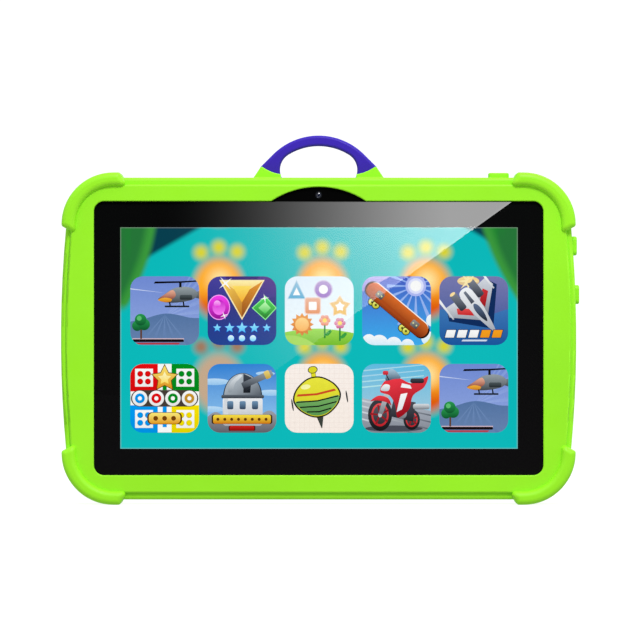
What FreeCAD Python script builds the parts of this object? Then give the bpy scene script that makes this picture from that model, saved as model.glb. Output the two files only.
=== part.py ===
"""Seven-inch children's tablet in a silicone case with a folding carry handle.

Millimetres. +X is the viewer's right, +Y the back, +Z up. The screen faces -Y. The origin is under the
middle of the case, on the surface that its two lower bumpers stand on, at the middle of its thickness.
"""
import FreeCAD, Part
import math
import os
import re
import Sketcher

DIMENSIONS = {
    # silicone case, front outline and depth
    "case_mid_z": 64.4,
    "case_half_height": 62.45,
    "case_half_width": 100.0,
    "shoulder_half_width": 97.95,
    "case_corner_radius": 18.45,
    "ledge_y": -5.5,
    "bezel_y": -7.0,
    "case_back_y": 6.4,
    "bezel_inset_side": 2.1,
    "bezel_inset_top": 2.7,
    "ledge_rounding": 1.3,
    "bezel_rounding": 0.8,
    "back_rounding": 3.0,
    "lip_rounding": 0.45,
    # corner bumpers
    "bumper_half_width": 99.6,
    "bumper_half_height": 64.4,
    "bumper_radius": 20.1,
    "bumper_wall": 5.4,
    "bumper_half_depth": 9.0,
    "bumper_end_x": 77.0,
    "bumper_end_rise": 43.6,
    "bumper_end_slant": 3.0,
    "bumper_rounding": 2.2,
    "bumper_end_rounding": 1.2,
    # opening over the screen, with the arch for the front camera
    "window_width": 174.2,
    "window_height": 106.2,
    "window_mid_z": 64.55,
    "window_radius": 4.0,
    "arch_radius": 33.3,
    "arch_top_z": 123.2,
    # tablet inside the case
    "tablet_width": 190.5,
    "tablet_height": 119.5,
    "tablet_radius": 10.0,
    "tablet_front_y": -5.6,
    "tablet_back_y": 4.2,
    "parting_y": -2.0,
    "shell_wall": 1.5,
    "shell_floor": 1.3,
    "frame_shelf": 2.4,
    # carry handle that folds back as a stand
    "handle_top_z": 143.75,
    "handle_top_radius": 25.2,
    "handle_half_width": 22.8,
    "handle_front_y": 5.5,
    "handle_back_y": 8.8,
    "handle_rounding": 1.15,
    "handle_low_inner_x": 16.5,
    "opening_half_width": 15.1,
    "opening_rise": 9.3,
    "opening_mid_z": 130.3,
    "opening_side_radius": 7.0,
    "opening_foot_x": 14.2,
    "bridge_top_z": 98.0,
    "bridge_bottom_z": 86.0,
    "pivot_z": 58.0,
    "pin_radius": 0.8,
    "pin_clearance": 0.06,
    "ear_radius": 1.8,
    "ear_width": 2.4,
    "ear_gap": 0.3,
    "stand_base_depth": 1.0,
    "stand_base_half_width": 32.0,
    "stand_base_low_z": 49.5,
    "stand_base_high_z": 61.8,
    "stand_slot_low_z": 54.4,
    "stand_slot_high_z": 62.0,
    # raised spine and lugs of the case, round the handle
    "spine_back_y": 8.6,
    "spine_half_width": 28.0,
    "spine_low_z": 45.0,
    "spine_radius": 9.0,
    "channel_floor_y": 5.3,
    "channel_gap": 0.4,
    "lug_front_y": -1.5,
    "lug_arc_radius": 16.0,
    "lug_tip_x": 22.3,
    "lug_tip_z": 131.5,
    "lug_foot_x": 25.4,
    "lug_tip_rounding": 0.7,
    "lug_inner_x": 14.7,
    "lug_inner_z": 128.3,
    # glass and display
    "glass_width": 186.0,
    "glass_height": 107.4,
    "glass_mid_z": 64.0,
    "glass_radius": 4.0,
    "glass_depth": 0.9,
    "glass_margin": 0.1,
    "sensor_depth": 0.2,
    "tape_depth": 0.3,
    "lcd_mid_z": 64.6,
    "lcd_width": 162.0,
    "lcd_height": 97.2,
    "lcd_tray_width": 165.6,
    "lcd_tray_height": 100.6,
    "lcd_tray_wall": 0.9,
    "lcd_front_y": -4.3,
    "lcd_glass_back_y": -3.1,
    "backlight_back_y": -1.8,
    "lcd_back_y": -1.5,
    # buttons
    "pad_thickness": 5.0,
    "volume_pad_length": 7.4,
    "power_pad_length": 8.0,
    "pad_corner": 1.6,
    "pad_rounding": 0.6,
    "pad_gap": 0.25,
    "key_proud": 0.5,
    "key_length": 6.0,
    "key_thickness": 2.2,
    "key_gap": 0.15,
    "flange_length": 8.0,
    "flange_thickness": 3.0,
    "flange_depth": 0.7,
    "stem_depth": 0.6,
    "stem_width": 2.0,
    "plunger_radius": 0.75,
    "plunger_length": 1.4,
    "switch_length": 6.0,
    "switch_thickness": 2.6,
    "switch_depth": 2.5,
    "switch_bore_depth": 0.7,
    "power_x": 70.0,
    "power_outer_z": 128.8,
    "volume_up_z": 100.4,
    "volume_up_outer_x": 100.4,
    "volume_down_z": 81.5,
    "volume_down_outer_x": 101.3,
    # flexible circuits
    "flex_thickness": 0.15,
    "touch_flex_overlap": 2.0,
    "touch_flex_reach": 0.9,
    "touch_flex_foot": 6.0,
    "lcd_flex_left_x": 20.0,
    "lcd_flex_right_x": 56.0,
    "lcd_flex_low_z": 40.0,
    "lcd_flex_high_z": 62.0,
    "camera_flex_right_x": 52.0,
    "camera_flex_y": -1.0,
    "camera_flex_low_z": 118.4,
    "camera_flex_high_z": 121.4,
    # board and its parts
    "board_left_x": 50.0,
    "board_right_x": 91.8,
    "board_low_z": 34.0,
    "board_high_z": 121.3,
    "board_front_y": 1.3,
    "board_back_y": 2.3,
    "board_screw_x": 54.0,
    "board_screw_low_z": 40.0,
    "board_screw_high_z": 92.0,
    "board_screw_head_radius": 1.3,
    "board_screw_head_depth": 0.6,
    "jack_notch_x": 82.6,
    "corner_notch_x": 89.0,
    "corner_notch_z": 117.5,
    "shield_x": 71.0,
    "shield_z": 94.0,
    "shield_width": 22.0,
    "shield_height": 20.0,
    "shield_depth": 1.6,
    "shield_wall": 0.3,
    "processor_x": 69.5,
    "processor_z": 94.5,
    "processor_size": 13.0,
    "processor_depth": 1.1,
    "memory_left_x": 58.0,
    "memory_depth": 1.0,
    "low_memory_width": 12.0,
    "low_memory_z": 70.0,
    "low_memory_height": 8.0,
    "high_memory_width": 9.0,
    "high_memory_z": 108.0,
    "high_memory_height": 9.0,
    "microphone_x": 72.0,
    "microphone_z": 36.5,
    "microphone_width": 4.0,
    "microphone_height": 3.0,
    "microphone_depth": 1.2,
    "microphone_port_radius": 0.4,
    "usb_z": 54.0,
    "usb_width": 7.6,
    "usb_wall": 0.3,
    "usb_left_x": 89.4,
    "usb_back_wall": 0.4,
    "usb_tongue_recess": 0.8,
    "usb_tongue_width": 5.2,
    "usb_tongue_thickness": 0.6,
    "usb_opening_length": 11.6,
    "usb_opening_thickness": 7.0,
    "usb_opening_radius": 2.5,
    "port_recess": 0.05,
    "jack_z": 40.0,
    "jack_y": 0.2,
    "jack_radius": 1.8,
    "jack_nose_radius": 2.12,
    "jack_bore_depth": 11.0,
    "jack_left_x": 83.3,
    "jack_block_front_y": -2.2,
    "jack_block_back_y": 2.6,
    "jack_block_height": 6.2,
    "jack_opening_radius": 4.2,
    "card_z": 67.0,
    "card_y": 0.1,
    "card_slot_left_x": 79.0,
    "card_slot_front_y": -1.0,
    "card_slot_height": 13.2,
    "card_slot_wall": 0.9,
    "card_gap": 1.0,
    "card_opening_length": 13.6,
    "card_opening_thickness": 5.4,
    "card_opening_radius": 2.2,
    # battery
    "battery_left_x": -58.0,
    "battery_right_x": 36.0,
    "battery_low_z": 36.0,
    "battery_high_z": 94.0,
    "battery_front_y": -0.8,
    "battery_back_y": 2.6,
    "battery_tape_width": 30.0,
    "battery_tape_margin": 4.0,
    "battery_tape_left_x": -50.0,
    "battery_tape_spacing": 50.0,
    "battery_plug_left_x": 52.0,
    "battery_plug_right_x": 56.0,
    "battery_plug_depth": 1.5,
    "battery_plug_low_z": 80.0,
    "battery_plug_high_z": 84.0,
    "battery_lead_y": 0.5,
    "battery_lead_radius": 0.35,
    # cameras
    "front_camera_z": 120.06,
    "front_camera_radius": 1.35,
    "rear_camera_x": 42.0,
    "rear_camera_z": 111.0,
    "rear_camera_radius": 3.2,
    "rear_camera_opening": 4.4,
    "rear_window_radius": 2.3,
    "rear_window_depth": 0.6,
    "rear_barrel_radius": 2.2,
    "rear_camera_size": 7.0,
    "rear_camera_front_y": -0.9,
    "camera_ring_proud": 0.4,
    "front_camera_size": 5.0,
    "front_camera_back_y": -0.6,
    "front_barrel_depth": 0.6,
    "front_window_depth": 0.5,
    # radio
    "antenna_left_x": -70.0,
    "antenna_right_x": -38.0,
    "antenna_low_z": 112.0,
    "antenna_high_z": 121.0,
    "antenna_depth": 0.2,
    "antenna_lead_y": 2.4,
    "antenna_lead_radius": 0.4,
    "antenna_plug_y": 0.6,
    # sound
    "speaker_x": -72.0,
    "speaker_z": 26.0,
    "sound_slot_pitch": 3.2,
    "sound_slot_width": 1.4,
    "sound_slot_length": 10.0,
    "speaker_length": 20.0,
    "speaker_height": 12.0,
    "speaker_front_y": -0.8,
    "speaker_back_y": 2.4,
    "gasket_length": 19.0,
    "gasket_inner_length": 16.6,
    "gasket_inner_height": 10.6,
    "speaker_lead_y": 0.6,
    "speaker_lead_radius": 0.3,
    # grip grooves in the back
    "groove_x": 62.0,
    "groove_low_z": 50.0,
    "groove_pitch": 8.0,
    "groove_length": 42.0,
    "groove_width": 3.0,
    "groove_depth": 0.7,
    # fasteners
    "screw_x": 88.3,
    "screw_radius": 0.7,
    "screw_head_radius": 1.5,
    "screw_head_depth": 0.8,
    "boss_radius": 2.1,
}

TABLET_TOP = "case_mid_z + tablet_height / 2"
TABLET_SIDE = "tablet_width / 2"
CASE_TOP = "case_mid_z + case_half_height"
PIVOT_Y = "(handle_front_y + handle_back_y) / 2"
HANDLE_RADIUS = "(handle_back_y - handle_front_y) / 2"
GROOVE_ROWS = 6
SOUND_SLOTS = 5
SHELL_FLOOR_Y = "tablet_back_y - shell_floor"
SHELF_BACK = "tablet_front_y + frame_shelf"
PORT_MOUTH = f"{TABLET_SIDE} - port_recess"
FLEX_LOW_Z, FLEX_HIGH_Z = "lcd_mid_z + 10", "lcd_mid_z + 19"
SLOT_SPREAD = f"sound_slot_pitch * {SOUND_SLOTS - 1}"
FIRST_SLOT_X = f"speaker_x - {SLOT_SPREAD} / 2"
SCREW_PLACES = [("-screw_x", "14"), ("-screw_x", "case_mid_z"), ("-screw_x", "113"),
                ("screw_x", "14"), ("screw_x", "91"), ("screw_x", "113")]

document = FreeCAD.newDocument("kids_tablet")
sheet = document.addObject("Spreadsheet::Sheet", "sizes")
for row, (alias, millimetres) in enumerate(DIMENSIONS.items(), start=1):
    sheet.set(f"A{row}", alias)
    sheet.set(f"B{row}", str(millimetres))
    sheet.setAlias(f"B{row}", alias)
document.recompute()
pieces = []


# ---------------------------------------------------------------- expressions and small helpers

def expression(text):
    """The text with every dimension's name pointing into the sheet."""
    def qualify(word):
        return f"sizes.{word.group()}" if word.group() in DIMENSIONS else word.group()
    return re.sub(r"[a-z][a-z_]*", qualify, str(text))


def number(text):
    """Present value of an expression."""
    return float(sheet.evalExpression(str(text)))


def bind(item, name, text):
    item.setExpression(name, expression(text))


def keep(item, label):
    """Give a finished sub-part its node name and put it on the list to export."""
    item.Label = label
    pieces.append(item)
    return item


def about(place, size):
    """Ends of a run of the given size about a place."""
    return f"{place} - {size} / 2", f"{place} + {size} / 2"


def middle(low, high):
    return f"(({low}) + ({high})) / 2"


# ---------------------------------------------------------------- sketches

def outline(*vertices):
    """Closed outline. Each vertex is (x, y, bulge): the bulge is None for a straight run to the next
    vertex, or a radius, positive where the arc turns counter-clockwise."""
    def draw(sketch):
        points = [FreeCAD.Vector(number(x), number(y), 0) for x, y, _ in vertices]
        edges = []
        for index, (_, _, bulge) in enumerate(vertices):
            start, end = points[index], points[(index + 1) % len(points)]
            edges.append(sketch.addGeometry(edge_between(start, end, bulge)))
        first = [1 if number(bulge or 1) > 0 else 2 for _, _, bulge in vertices]
        for index, (x, y, bulge) in enumerate(vertices):
            after = (index + 1) % len(vertices)
            last = 3 - first[index]
            join = Sketcher.Constraint("Coincident", edges[index], last, edges[after], first[after])
            sketch.addConstraint(join)
            place_point(sketch, edges[index], first[index], x, y)
            if bulge is not None:
                arc = sketch.addConstraint(Sketcher.Constraint("Radius", edges[index], abs(number(bulge))))
                bind(sketch, f"Constraints[{arc}]", f"abs({bulge})")
    return draw


def edge_between(start, end, bulge):
    """Line, or the shorter arc of the given signed radius, from start to end."""
    if bulge is None:
        return Part.LineSegment(start, end)
    radius = number(bulge)
    chord = end - start
    height = math.sqrt(radius ** 2 - (chord.Length / 2) ** 2)
    to_left = FreeCAD.Vector(-chord.y, chord.x, 0).normalize()
    centre = (start + end) * 0.5 + to_left * math.copysign(height, radius)
    circle = Part.Circle(centre, FreeCAD.Vector(0, 0, 1), abs(radius))
    ends = [math.atan2(point.y - centre.y, point.x - centre.x) for point in (start, end)]
    if radius < 0:
        ends.reverse()
    return Part.ArcOfCircle(circle, ends[0], ends[1])


def place_point(sketch, geometry, vertex, x, y):
    """Tie one point of the geometry to expressions for its two coordinates."""
    for kind, text in (("DistanceX", x), ("DistanceY", y)):
        index = sketch.addConstraint(Sketcher.Constraint(kind, -1, 1, geometry, vertex, number(text)))
        bind(sketch, f"Constraints[{index}]", text)


def rounded_rectangle(x, y, width, height, radius):
    """Rectangle with round corners, given its middle."""
    left, right = f"({x}) - ({width}) / 2", f"({x}) + ({width}) / 2"
    low, high = f"({y}) - ({height}) / 2", f"({y}) + ({height}) / 2"
    radius = f"({radius})"
    return outline((right, f"{low} + {radius}", None), (right, f"{high} - {radius}", radius),
                   (f"{right} - {radius}", high, None), (f"{left} + {radius}", high, radius),
                   (left, f"{high} - {radius}", None), (left, f"{low} + {radius}", radius),
                   (f"{left} + {radius}", low, None), (f"{right} - {radius}", low, radius))


def rectangle(left, right, low, high):
    return outline((left, low, None), (right, low, None), (right, high, None), (left, high, None))


def circle(x, y, radius):
    def draw(sketch):
        spot = FreeCAD.Vector(number(x), number(y), 0)
        ring = sketch.addGeometry(Part.Circle(spot, FreeCAD.Vector(0, 0, 1), number(radius)))
        place_point(sketch, ring, 3, x, y)
        size = sketch.addConstraint(Sketcher.Constraint("Radius", ring, number(radius)))
        bind(sketch, f"Constraints[{size}]", radius)
    return draw


# ---------------------------------------------------------------- body features

def new_body(label):
    return keep(document.addObject("PartDesign::Body", label), label)


def prism(body, kind, name, role, low, high, *profiles):
    """Pad or pocket between two offsets along the axis that the origin plane faces."""
    faces_low = role == "XZ_Plane"
    start = high if faces_low == (kind == "Pad") else low
    plane = next(item for item in body.Origin.OriginFeatures if item.Role == role)
    sketch = body.newObject("Sketcher::SketchObject", f"{name}_sketch")
    sketch.AttachmentSupport = [(plane, "")]
    sketch.MapMode = "FlatFace"
    bind(sketch, "AttachmentOffset.Base.z", f"-({start})" if faces_low else start)
    for draw in profiles:
        draw(sketch)
    feature = body.newObject(f"PartDesign::{kind}", name)
    feature.Profile = sketch
    bind(feature, "Length", f"({high}) - ({low})")
    document.recompute()
    return feature


def pad(body, name, low, high, *profiles, role="XZ_Plane"):
    return prism(body, "Pad", name, role, low, high, *profiles)


def pocket(body, name, low, high, *profiles, role="XZ_Plane"):
    """Cut away, and make sure that something was cut."""
    before = body.Shape.Volume
    feature = prism(body, "Pocket", name, role, low, high, *profiles)
    if body.Shape.Volume >= before - 1e-6:
        raise RuntimeError(f"{name} cuts nothing")
    return feature


def round_edges(body, name, radius, chosen):
    """Round every edge of the body so far that the test picks."""
    base = body.Tip
    names = [f"Edge{index}" for index, edge in enumerate(base.Shape.Edges, start=1) if chosen(edge)]
    fillet = body.newObject("PartDesign::Fillet", name)
    fillet.Base = (base, names)
    bind(fillet, "Radius", radius)
    document.recompute()


def repeat(body, name, feature, role, count, length):
    """Repeat a feature along one of the body's origin axes."""
    axis = next(item for item in body.Origin.OriginFeatures if item.Role == role)
    pattern = body.newObject("PartDesign::LinearPattern", name)
    pattern.Originals = [feature]
    pattern.Direction = (axis, [""])
    pattern.Occurrences = count
    bind(pattern, "Length", length)
    body.Tip = pattern
    document.recompute()


def join(body, name, *others):
    """Fuse other bodies into this one."""
    feature = body.newObject("PartDesign::Boolean", name)
    feature.Type = "Fuse"
    feature.setObjects(list(others))
    document.recompute()


def lies_at(axis, text, test=None):
    """Test for edges that lie wholly in the plane axis = text."""
    level = number(text)

    def chosen(edge):
        box = edge.BoundBox
        ends = {"x": (box.XMin, box.XMax), "y": (box.YMin, box.YMax), "z": (box.ZMin, box.ZMax)}[axis]
        return max(abs(end - level) for end in ends) < 1e-4 and (test is None or test(edge))
    return chosen


def runs_back_at(*places):
    """Test for straight edges along Y that pass through any of the (x, z) places."""
    spots = [(number(x), number(z)) for x, z in places]

    def chosen(edge):
        box = edge.BoundBox
        along_y = box.XLength < 1e-4 and box.ZLength < 1e-4
        return along_y and any(math.dist((box.XMin, box.ZMin), spot) < 0.01 for spot in spots)
    return chosen


# ---------------------------------------------------------------- Part primitives

def box(label, x, y, z):
    """Box between expressions for its low and high corners."""
    item = document.addObject("Part::Box", label)
    for side, axis, (low, high) in (("Length", "x", x), ("Width", "y", y), ("Height", "z", z)):
        bind(item, side, f"({high}) - ({low})")
        bind(item, f"Placement.Base.{axis}", low)
    return item


def rod(label, radius, x, y, z, length, axis):
    """Cylinder that starts at a point and runs along +X, +Y or +Z."""
    item = document.addObject("Part::Cylinder", label)
    turn = {"x": FreeCAD.Rotation(FreeCAD.Vector(0, 1, 0), 90), "z": FreeCAD.Rotation(),
            "y": FreeCAD.Rotation(FreeCAD.Vector(1, 0, 0), -90)}[axis]
    item.Placement = FreeCAD.Placement(FreeCAD.Vector(), turn)
    bind(item, "Radius", radius)
    bind(item, "Height", length)
    for name, text in (("x", x), ("y", y), ("z", z)):
        bind(item, f"Placement.Base.{name}", text)
    return item


def fuse(label, *items):
    item = document.addObject("Part::MultiFuse", label)
    item.Shapes = list(items)
    return item


def cut(label, base, *tools):
    item = document.addObject("Part::Cut", label)
    item.Base = base
    item.Tool = tools[0] if len(tools) == 1 else fuse(f"{label}_tools", *tools)
    return item


def several(label, *items):
    """Separate solids in one node."""
    item = document.addObject("Part::Compound", label)
    item.Links = list(items)
    return item


def wire_solid(label, radius, *routes):
    """Round leads along routes of straight runs joined by tangent arcs."""
    solids = [round_lead(radius, [FreeCAD.Vector(*map(number, point)) for point in route]) for route in routes]
    item = document.addObject("Part::Feature", label)
    item.Shape = solids[0] if len(solids) == 1 else Part.makeCompound(solids)
    return keep(item, label)


def round_lead(radius, points):
    edges = []
    reached = points[0]
    for before, corner, after in zip(points, points[1:], points[2:]):
        incoming, outgoing = (corner - before), (after - corner)
        half_turn = incoming.getAngle(outgoing) / 2
        inset = 0.45 * min(incoming.Length, outgoing.Length)
        bend = inset / math.tan(half_turn)
        start = corner - incoming.normalize() * inset
        end = corner + outgoing.normalize() * inset
        inward = (outgoing - incoming).normalize()
        crest = corner + inward * (bend / math.cos(half_turn) - bend)
        edges += [Part.LineSegment(reached, start).toShape(), Part.Arc(start, crest, end).toShape()]
        reached = end
    edges.append(Part.LineSegment(reached, points[-1]).toShape())
    path = Part.Wire(edges)
    section = Part.Wire(Part.Circle(points[0], points[1] - points[0], number(radius)).toShape())
    return path.makePipeShell([section], True, True)


# ---------------------------------------------------------------- silicone case

def bulged_outline(half_width, shoulder, half_height, radius):
    """Rounded rectangle about the case's middle, whose two long sides bow outwards."""
    rise = f"({half_height} - {radius})"
    bow = f"(({rise} ^ 2 + ({half_width} - {shoulder}) ^ 2) / (2 * ({half_width} - {shoulder})))"
    top, bottom = f"case_mid_z + {half_height}", f"case_mid_z - {half_height}"
    high, low = f"case_mid_z + {rise}", f"case_mid_z - {rise}"
    near = f"({shoulder} - {radius})"
    return outline((shoulder, low, bow), (shoulder, high, radius), (near, top, None), (f"-{near}", top, radius),
                   (f"-({shoulder})", high, bow), (f"-({shoulder})", low, radius), (f"-{near}", bottom, None),
                   (near, bottom, radius))


def bumper(side, end):
    """Rounded quarter ring round one corner, with slanted ends. side is +1 or -1 in x, end in z."""
    turn = -side * end
    inner = "(bumper_radius - bumper_wall)"
    flat_top = "bumper_half_height - bumper_wall + 0.1"
    flat_side = "bumper_half_width - bumper_wall - 0.2"

    def at(x, z):
        return f"{side} * ({x})", f"case_mid_z + {end} * ({z})"
    ring = outline((*at("bumper_end_x", "bumper_half_height"), None),
                   (*at("bumper_half_width - bumper_radius", "bumper_half_height"), f"{turn} * bumper_radius"),
                   (*at("bumper_half_width", "bumper_half_height - bumper_radius"), None),
                   (*at("bumper_half_width", "bumper_end_rise"), None),
                   (*at(flat_side, "bumper_end_rise - bumper_end_slant"), None),
                   (*at(flat_side, f"{flat_top} - {inner}"), f"{-turn} * {inner}"),
                   (*at(f"{flat_side} - {inner}", flat_top), None),
                   (*at("bumper_end_x - bumper_end_slant", flat_top), None))
    body = document.addObject("PartDesign::Body", "bumper_blank")
    pad(body, "ring", "-bumper_half_depth", "bumper_half_depth", ring)
    ends = [at("bumper_end_x", "bumper_half_height"), at("bumper_end_x - bumper_end_slant", flat_top),
            at("bumper_half_width", "bumper_end_rise"), at(flat_side, "bumper_end_rise - bumper_end_slant")]
    round_edges(body, "end_round", "bumper_end_rounding", runs_back_at(*ends))
    faces = [lies_at("y", "-bumper_half_depth"), lies_at("y", "bumper_half_depth")]
    round_edges(body, "face_round", "bumper_rounding", lambda edge: any(test(edge) for test in faces))
    return body


def lug_outline(side):
    """Lug in front of one foot of the handle: its upper edge is a hollow arc."""
    root = "case_mid_z + case_half_height - 3"
    return outline((f"{side} * lug_inner_x", root, None), (f"{side} * lug_foot_x", root, None),
                   (f"{side} * lug_foot_x", CASE_TOP, None),
                   (f"{side} * lug_tip_x", "lug_tip_z", f"{-side} * lug_arc_radius"),
                   (f"{side} * lug_inner_x", "lug_inner_z", None))


def window_outline():
    """Opening over the screen, with the camera arch in its upper side."""
    top = "window_mid_z + window_height / 2"
    low = "window_mid_z - window_height / 2"
    side = "window_width / 2"
    arch_mid = "(arch_top_z - arch_radius)"
    arch = f"sqrt(arch_radius ^ 2 - ({top} - {arch_mid}) ^ 2)"
    corner = "window_radius"
    return outline((side, f"{low} + {corner}", None), (side, f"{top} - {corner}", corner),
                   (f"{side} - {corner}", top, None), (arch, top, "arch_radius"), (f"-{arch}", top, None),
                   (f"-({side} - {corner})", top, corner), (f"-{side}", f"{top} - {corner}", None),
                   (f"-{side}", f"{low} + {corner}", corner), (f"-({side} - {corner})", low, None),
                   (f"{side} - {corner}", low, corner))


def case_blank(body):
    """Outside of the case before it is hollowed."""
    pad(body, "shell", "ledge_y", "case_back_y",
        bulged_outline("case_half_width", "shoulder_half_width", "case_half_height", "case_corner_radius"))
    round_edges(body, "ledge_round", "ledge_rounding", lies_at("y", "ledge_y"))
    round_edges(body, "back_round", "back_rounding", lies_at("y", "case_back_y"))
    pad(body, "bezel", "bezel_y", "tablet_front_y + 1",
        bulged_outline("(case_half_width - bezel_inset_side)", "(shoulder_half_width - bezel_inset_side)",
                       "(case_half_height - bezel_inset_top)", "(case_corner_radius - bezel_inset_top)"))
    round_edges(body, "bezel_round", "bezel_rounding", lies_at("y", "bezel_y"))
    join(body, "bumpers", *[bumper(side, end) for side in (1, -1) for end in (1, -1)])
    pad(body, "spine", "tablet_back_y", "spine_back_y",
        rounded_rectangle("0", middle("spine_low_z", f"{CASE_TOP} + spine_radius"), "2 * spine_half_width",
                          f"{CASE_TOP} + spine_radius - spine_low_z", "spine_radius"))
    pocket(body, "spine_trim", "-1", "spine_back_y + 1",
           rectangle("-spine_half_width - 1", "spine_half_width + 1", CASE_TOP,
                     f"{CASE_TOP} + spine_radius + 1"))
    round_edges(body, "spine_round", "bezel_rounding", lies_at("y", "spine_back_y"))
    pad(body, "lugs", "lug_front_y", "channel_floor_y", lug_outline(1), lug_outline(-1))
    round_edges(body, "lug_tip_round", "lug_tip_rounding",
                runs_back_at(("lug_tip_x", "lug_tip_z"), ("-lug_tip_x", "lug_tip_z")))
    round_edges(body, "lug_round", "lip_rounding", lies_at("y", "lug_front_y"))


def case_hollows(body):
    """Room for the tablet and the handle."""
    pocket(body, "cavity", "tablet_front_y", "tablet_back_y",
           rounded_rectangle("0", "case_mid_z", "tablet_width", "tablet_height", "tablet_radius"))
    pocket(body, "window", "-bumper_half_depth", "tablet_front_y + 0.2", window_outline())
    half_width = number("window_width / 2 + 0.1")

    def on_lip(edge):
        return abs(edge.BoundBox.XMax) <= half_width and abs(edge.BoundBox.XMin) <= half_width
    round_edges(body, "lip_round", "lip_rounding", lies_at("y", "bezel_y", on_lip))
    wide = "handle_half_width + channel_gap"
    inner = "handle_low_inner_x - ear_width - 2 * ear_gap"
    pocket(body, "channel", "channel_floor_y", "spine_back_y + 1",
           rectangle(f"-({wide})", wide, "stand_slot_low_z", f"{CASE_TOP} + 1"),
           rectangle("-(opening_foot_x - channel_gap)", "opening_foot_x - channel_gap",
                     "bridge_top_z + channel_gap", f"{CASE_TOP} + 0.5"),
           rectangle(f"-({inner})", inner, "stand_slot_low_z + 1", "bridge_bottom_z - channel_gap"))
    outer = "handle_half_width + ear_width + 2 * ear_gap"
    pocket(body, "ear_slots", "tablet_back_y", "spine_back_y + 1",
           *[rectangle(*sorted((f"{side} * ({inner})", f"{side} * ({outer})"), key=number),
                       "stand_slot_low_z", "stand_slot_high_z") for side in (1, -1)])
    pocket(body, "base_seat", "tablet_back_y", "tablet_back_y + stand_base_depth",
           rectangle("-stand_base_half_width", "stand_base_half_width", "stand_base_low_z",
                     "stand_base_high_z"))


def case_openings(body):
    """Ports, buttons, camera, sound slots and grip grooves."""
    side = f"{TABLET_SIDE} - 1"
    pocket(body, "port_openings", side, "case_half_width + 2",
           rounded_rectangle("0", "usb_z", "usb_opening_thickness", "usb_opening_length",
                             "usb_opening_radius"),
           circle("jack_y", "jack_z", "jack_opening_radius"),
           rounded_rectangle("0", "card_z", "card_opening_thickness", "card_opening_length",
                             "card_opening_radius"),
           role="YZ_Plane")
    pocket(body, "volume_openings", side, "case_half_width + 2",
           *[rounded_rectangle("0", spot, "pad_thickness + 2 * pad_gap", "volume_pad_length + 2 * pad_gap",
                               "pad_corner + pad_gap") for spot in ("volume_up_z", "volume_down_z")],
           role="YZ_Plane")
    pocket(body, "power_opening", f"{TABLET_TOP} - 1", f"{CASE_TOP} + 1",
           rounded_rectangle("power_x", "0", "power_pad_length + 2 * pad_gap", "pad_thickness + 2 * pad_gap",
                             "pad_corner + pad_gap"), role="XY_Plane")
    pocket(body, "camera_opening", "tablet_back_y - 1", "case_back_y + 1",
           circle("rear_camera_x", "rear_camera_z", "rear_camera_opening"))
    slot = pocket(body, "sound_opening", "tablet_back_y - 1", "case_back_y + 1",
                  rounded_rectangle(FIRST_SLOT_X, "speaker_z", "sound_slot_width + 0.6",
                                    "sound_slot_length + 0.6", "sound_slot_width / 2 + 0.28"))
    repeat(body, "sound_openings", slot, "X_Axis", SOUND_SLOTS, SLOT_SPREAD)
    groove = pocket(body, "grip_groove", "case_back_y - groove_depth", "case_back_y + 1",
                    *[rounded_rectangle(f"{sign} * groove_x", "groove_low_z", "groove_length", "groove_width",
                                        "groove_width / 2 - 0.02") for sign in (1, -1)])
    repeat(body, "grip_grooves", groove, "Z_Axis", GROOVE_ROWS, f"groove_pitch * {GROOVE_ROWS - 1}")


def silicone_case():
    body = new_body("silicone_case")
    case_blank(body)
    case_hollows(body)
    case_openings(body)


# ---------------------------------------------------------------- handle and its hinge

def handle_stand():
    body = new_body("handle_stand")
    tangent = "handle_top_radius * sqrt(0.5)"
    shoulder_z = f"handle_top_z - handle_top_radius + {tangent}"
    foot_z = f"{shoulder_z} - (handle_half_width - {tangent})"
    outer = outline(("handle_half_width", "pivot_z", None), ("handle_half_width", foot_z, None),
                    (tangent, shoulder_z, "handle_top_radius"), (f"-{tangent}", shoulder_z, None),
                    ("-handle_half_width", foot_z, None), ("-handle_half_width", "pivot_z", None),
                    ("-handle_low_inner_x", "pivot_z", None), ("-handle_low_inner_x", "bridge_bottom_z", None),
                    ("handle_low_inner_x", "bridge_bottom_z", None), ("handle_low_inner_x", "pivot_z", None))
    side = "opening_side_radius"
    reach = f"(opening_half_width - {side})"
    crown = f"(({reach} ^ 2 + opening_rise ^ 2 - {side} ^ 2) / (2 * (opening_rise - {side})))"
    join_x = f"{reach} * {crown} / ({crown} - {side})"
    drop = f"({crown} - opening_rise)"
    join_z = f"opening_mid_z - {drop} + {drop} * {crown} / ({crown} - {side})"
    foot = f"opening_mid_z - sqrt({side} ^ 2 - (opening_foot_x - {reach}) ^ 2)"
    opening = outline(("opening_foot_x", "bridge_top_z", None), ("opening_foot_x", foot, side),
                      (join_x, join_z, crown), (f"-({join_x})", join_z, side), ("-opening_foot_x", foot, None),
                      ("-opening_foot_x", "bridge_top_z", None))
    pad(body, "loop", "handle_front_y", "handle_back_y", outer, opening)
    low_end = number("pivot_z + 0.5")

    def above_eyes(edge):
        return edge.BoundBox.ZMax > low_end
    round_edges(body, "front_round", "handle_rounding", lies_at("y", "handle_front_y", above_eyes))
    round_edges(body, "back_round", "handle_rounding", lies_at("y", "handle_back_y", above_eyes))
    for name, low in (("right", "handle_low_inner_x"), ("left", "-handle_half_width")):
        pad(body, f"{name}_eye", low, f"{low} + handle_half_width - handle_low_inner_x",
            circle(PIVOT_Y, "pivot_z", HANDLE_RADIUS), role="YZ_Plane")
    pocket(body, "pin_holes", "-handle_half_width - 1", "handle_half_width + 1",
           circle(PIVOT_Y, "pivot_z", "pin_radius + pin_clearance"), role="YZ_Plane")


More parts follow.
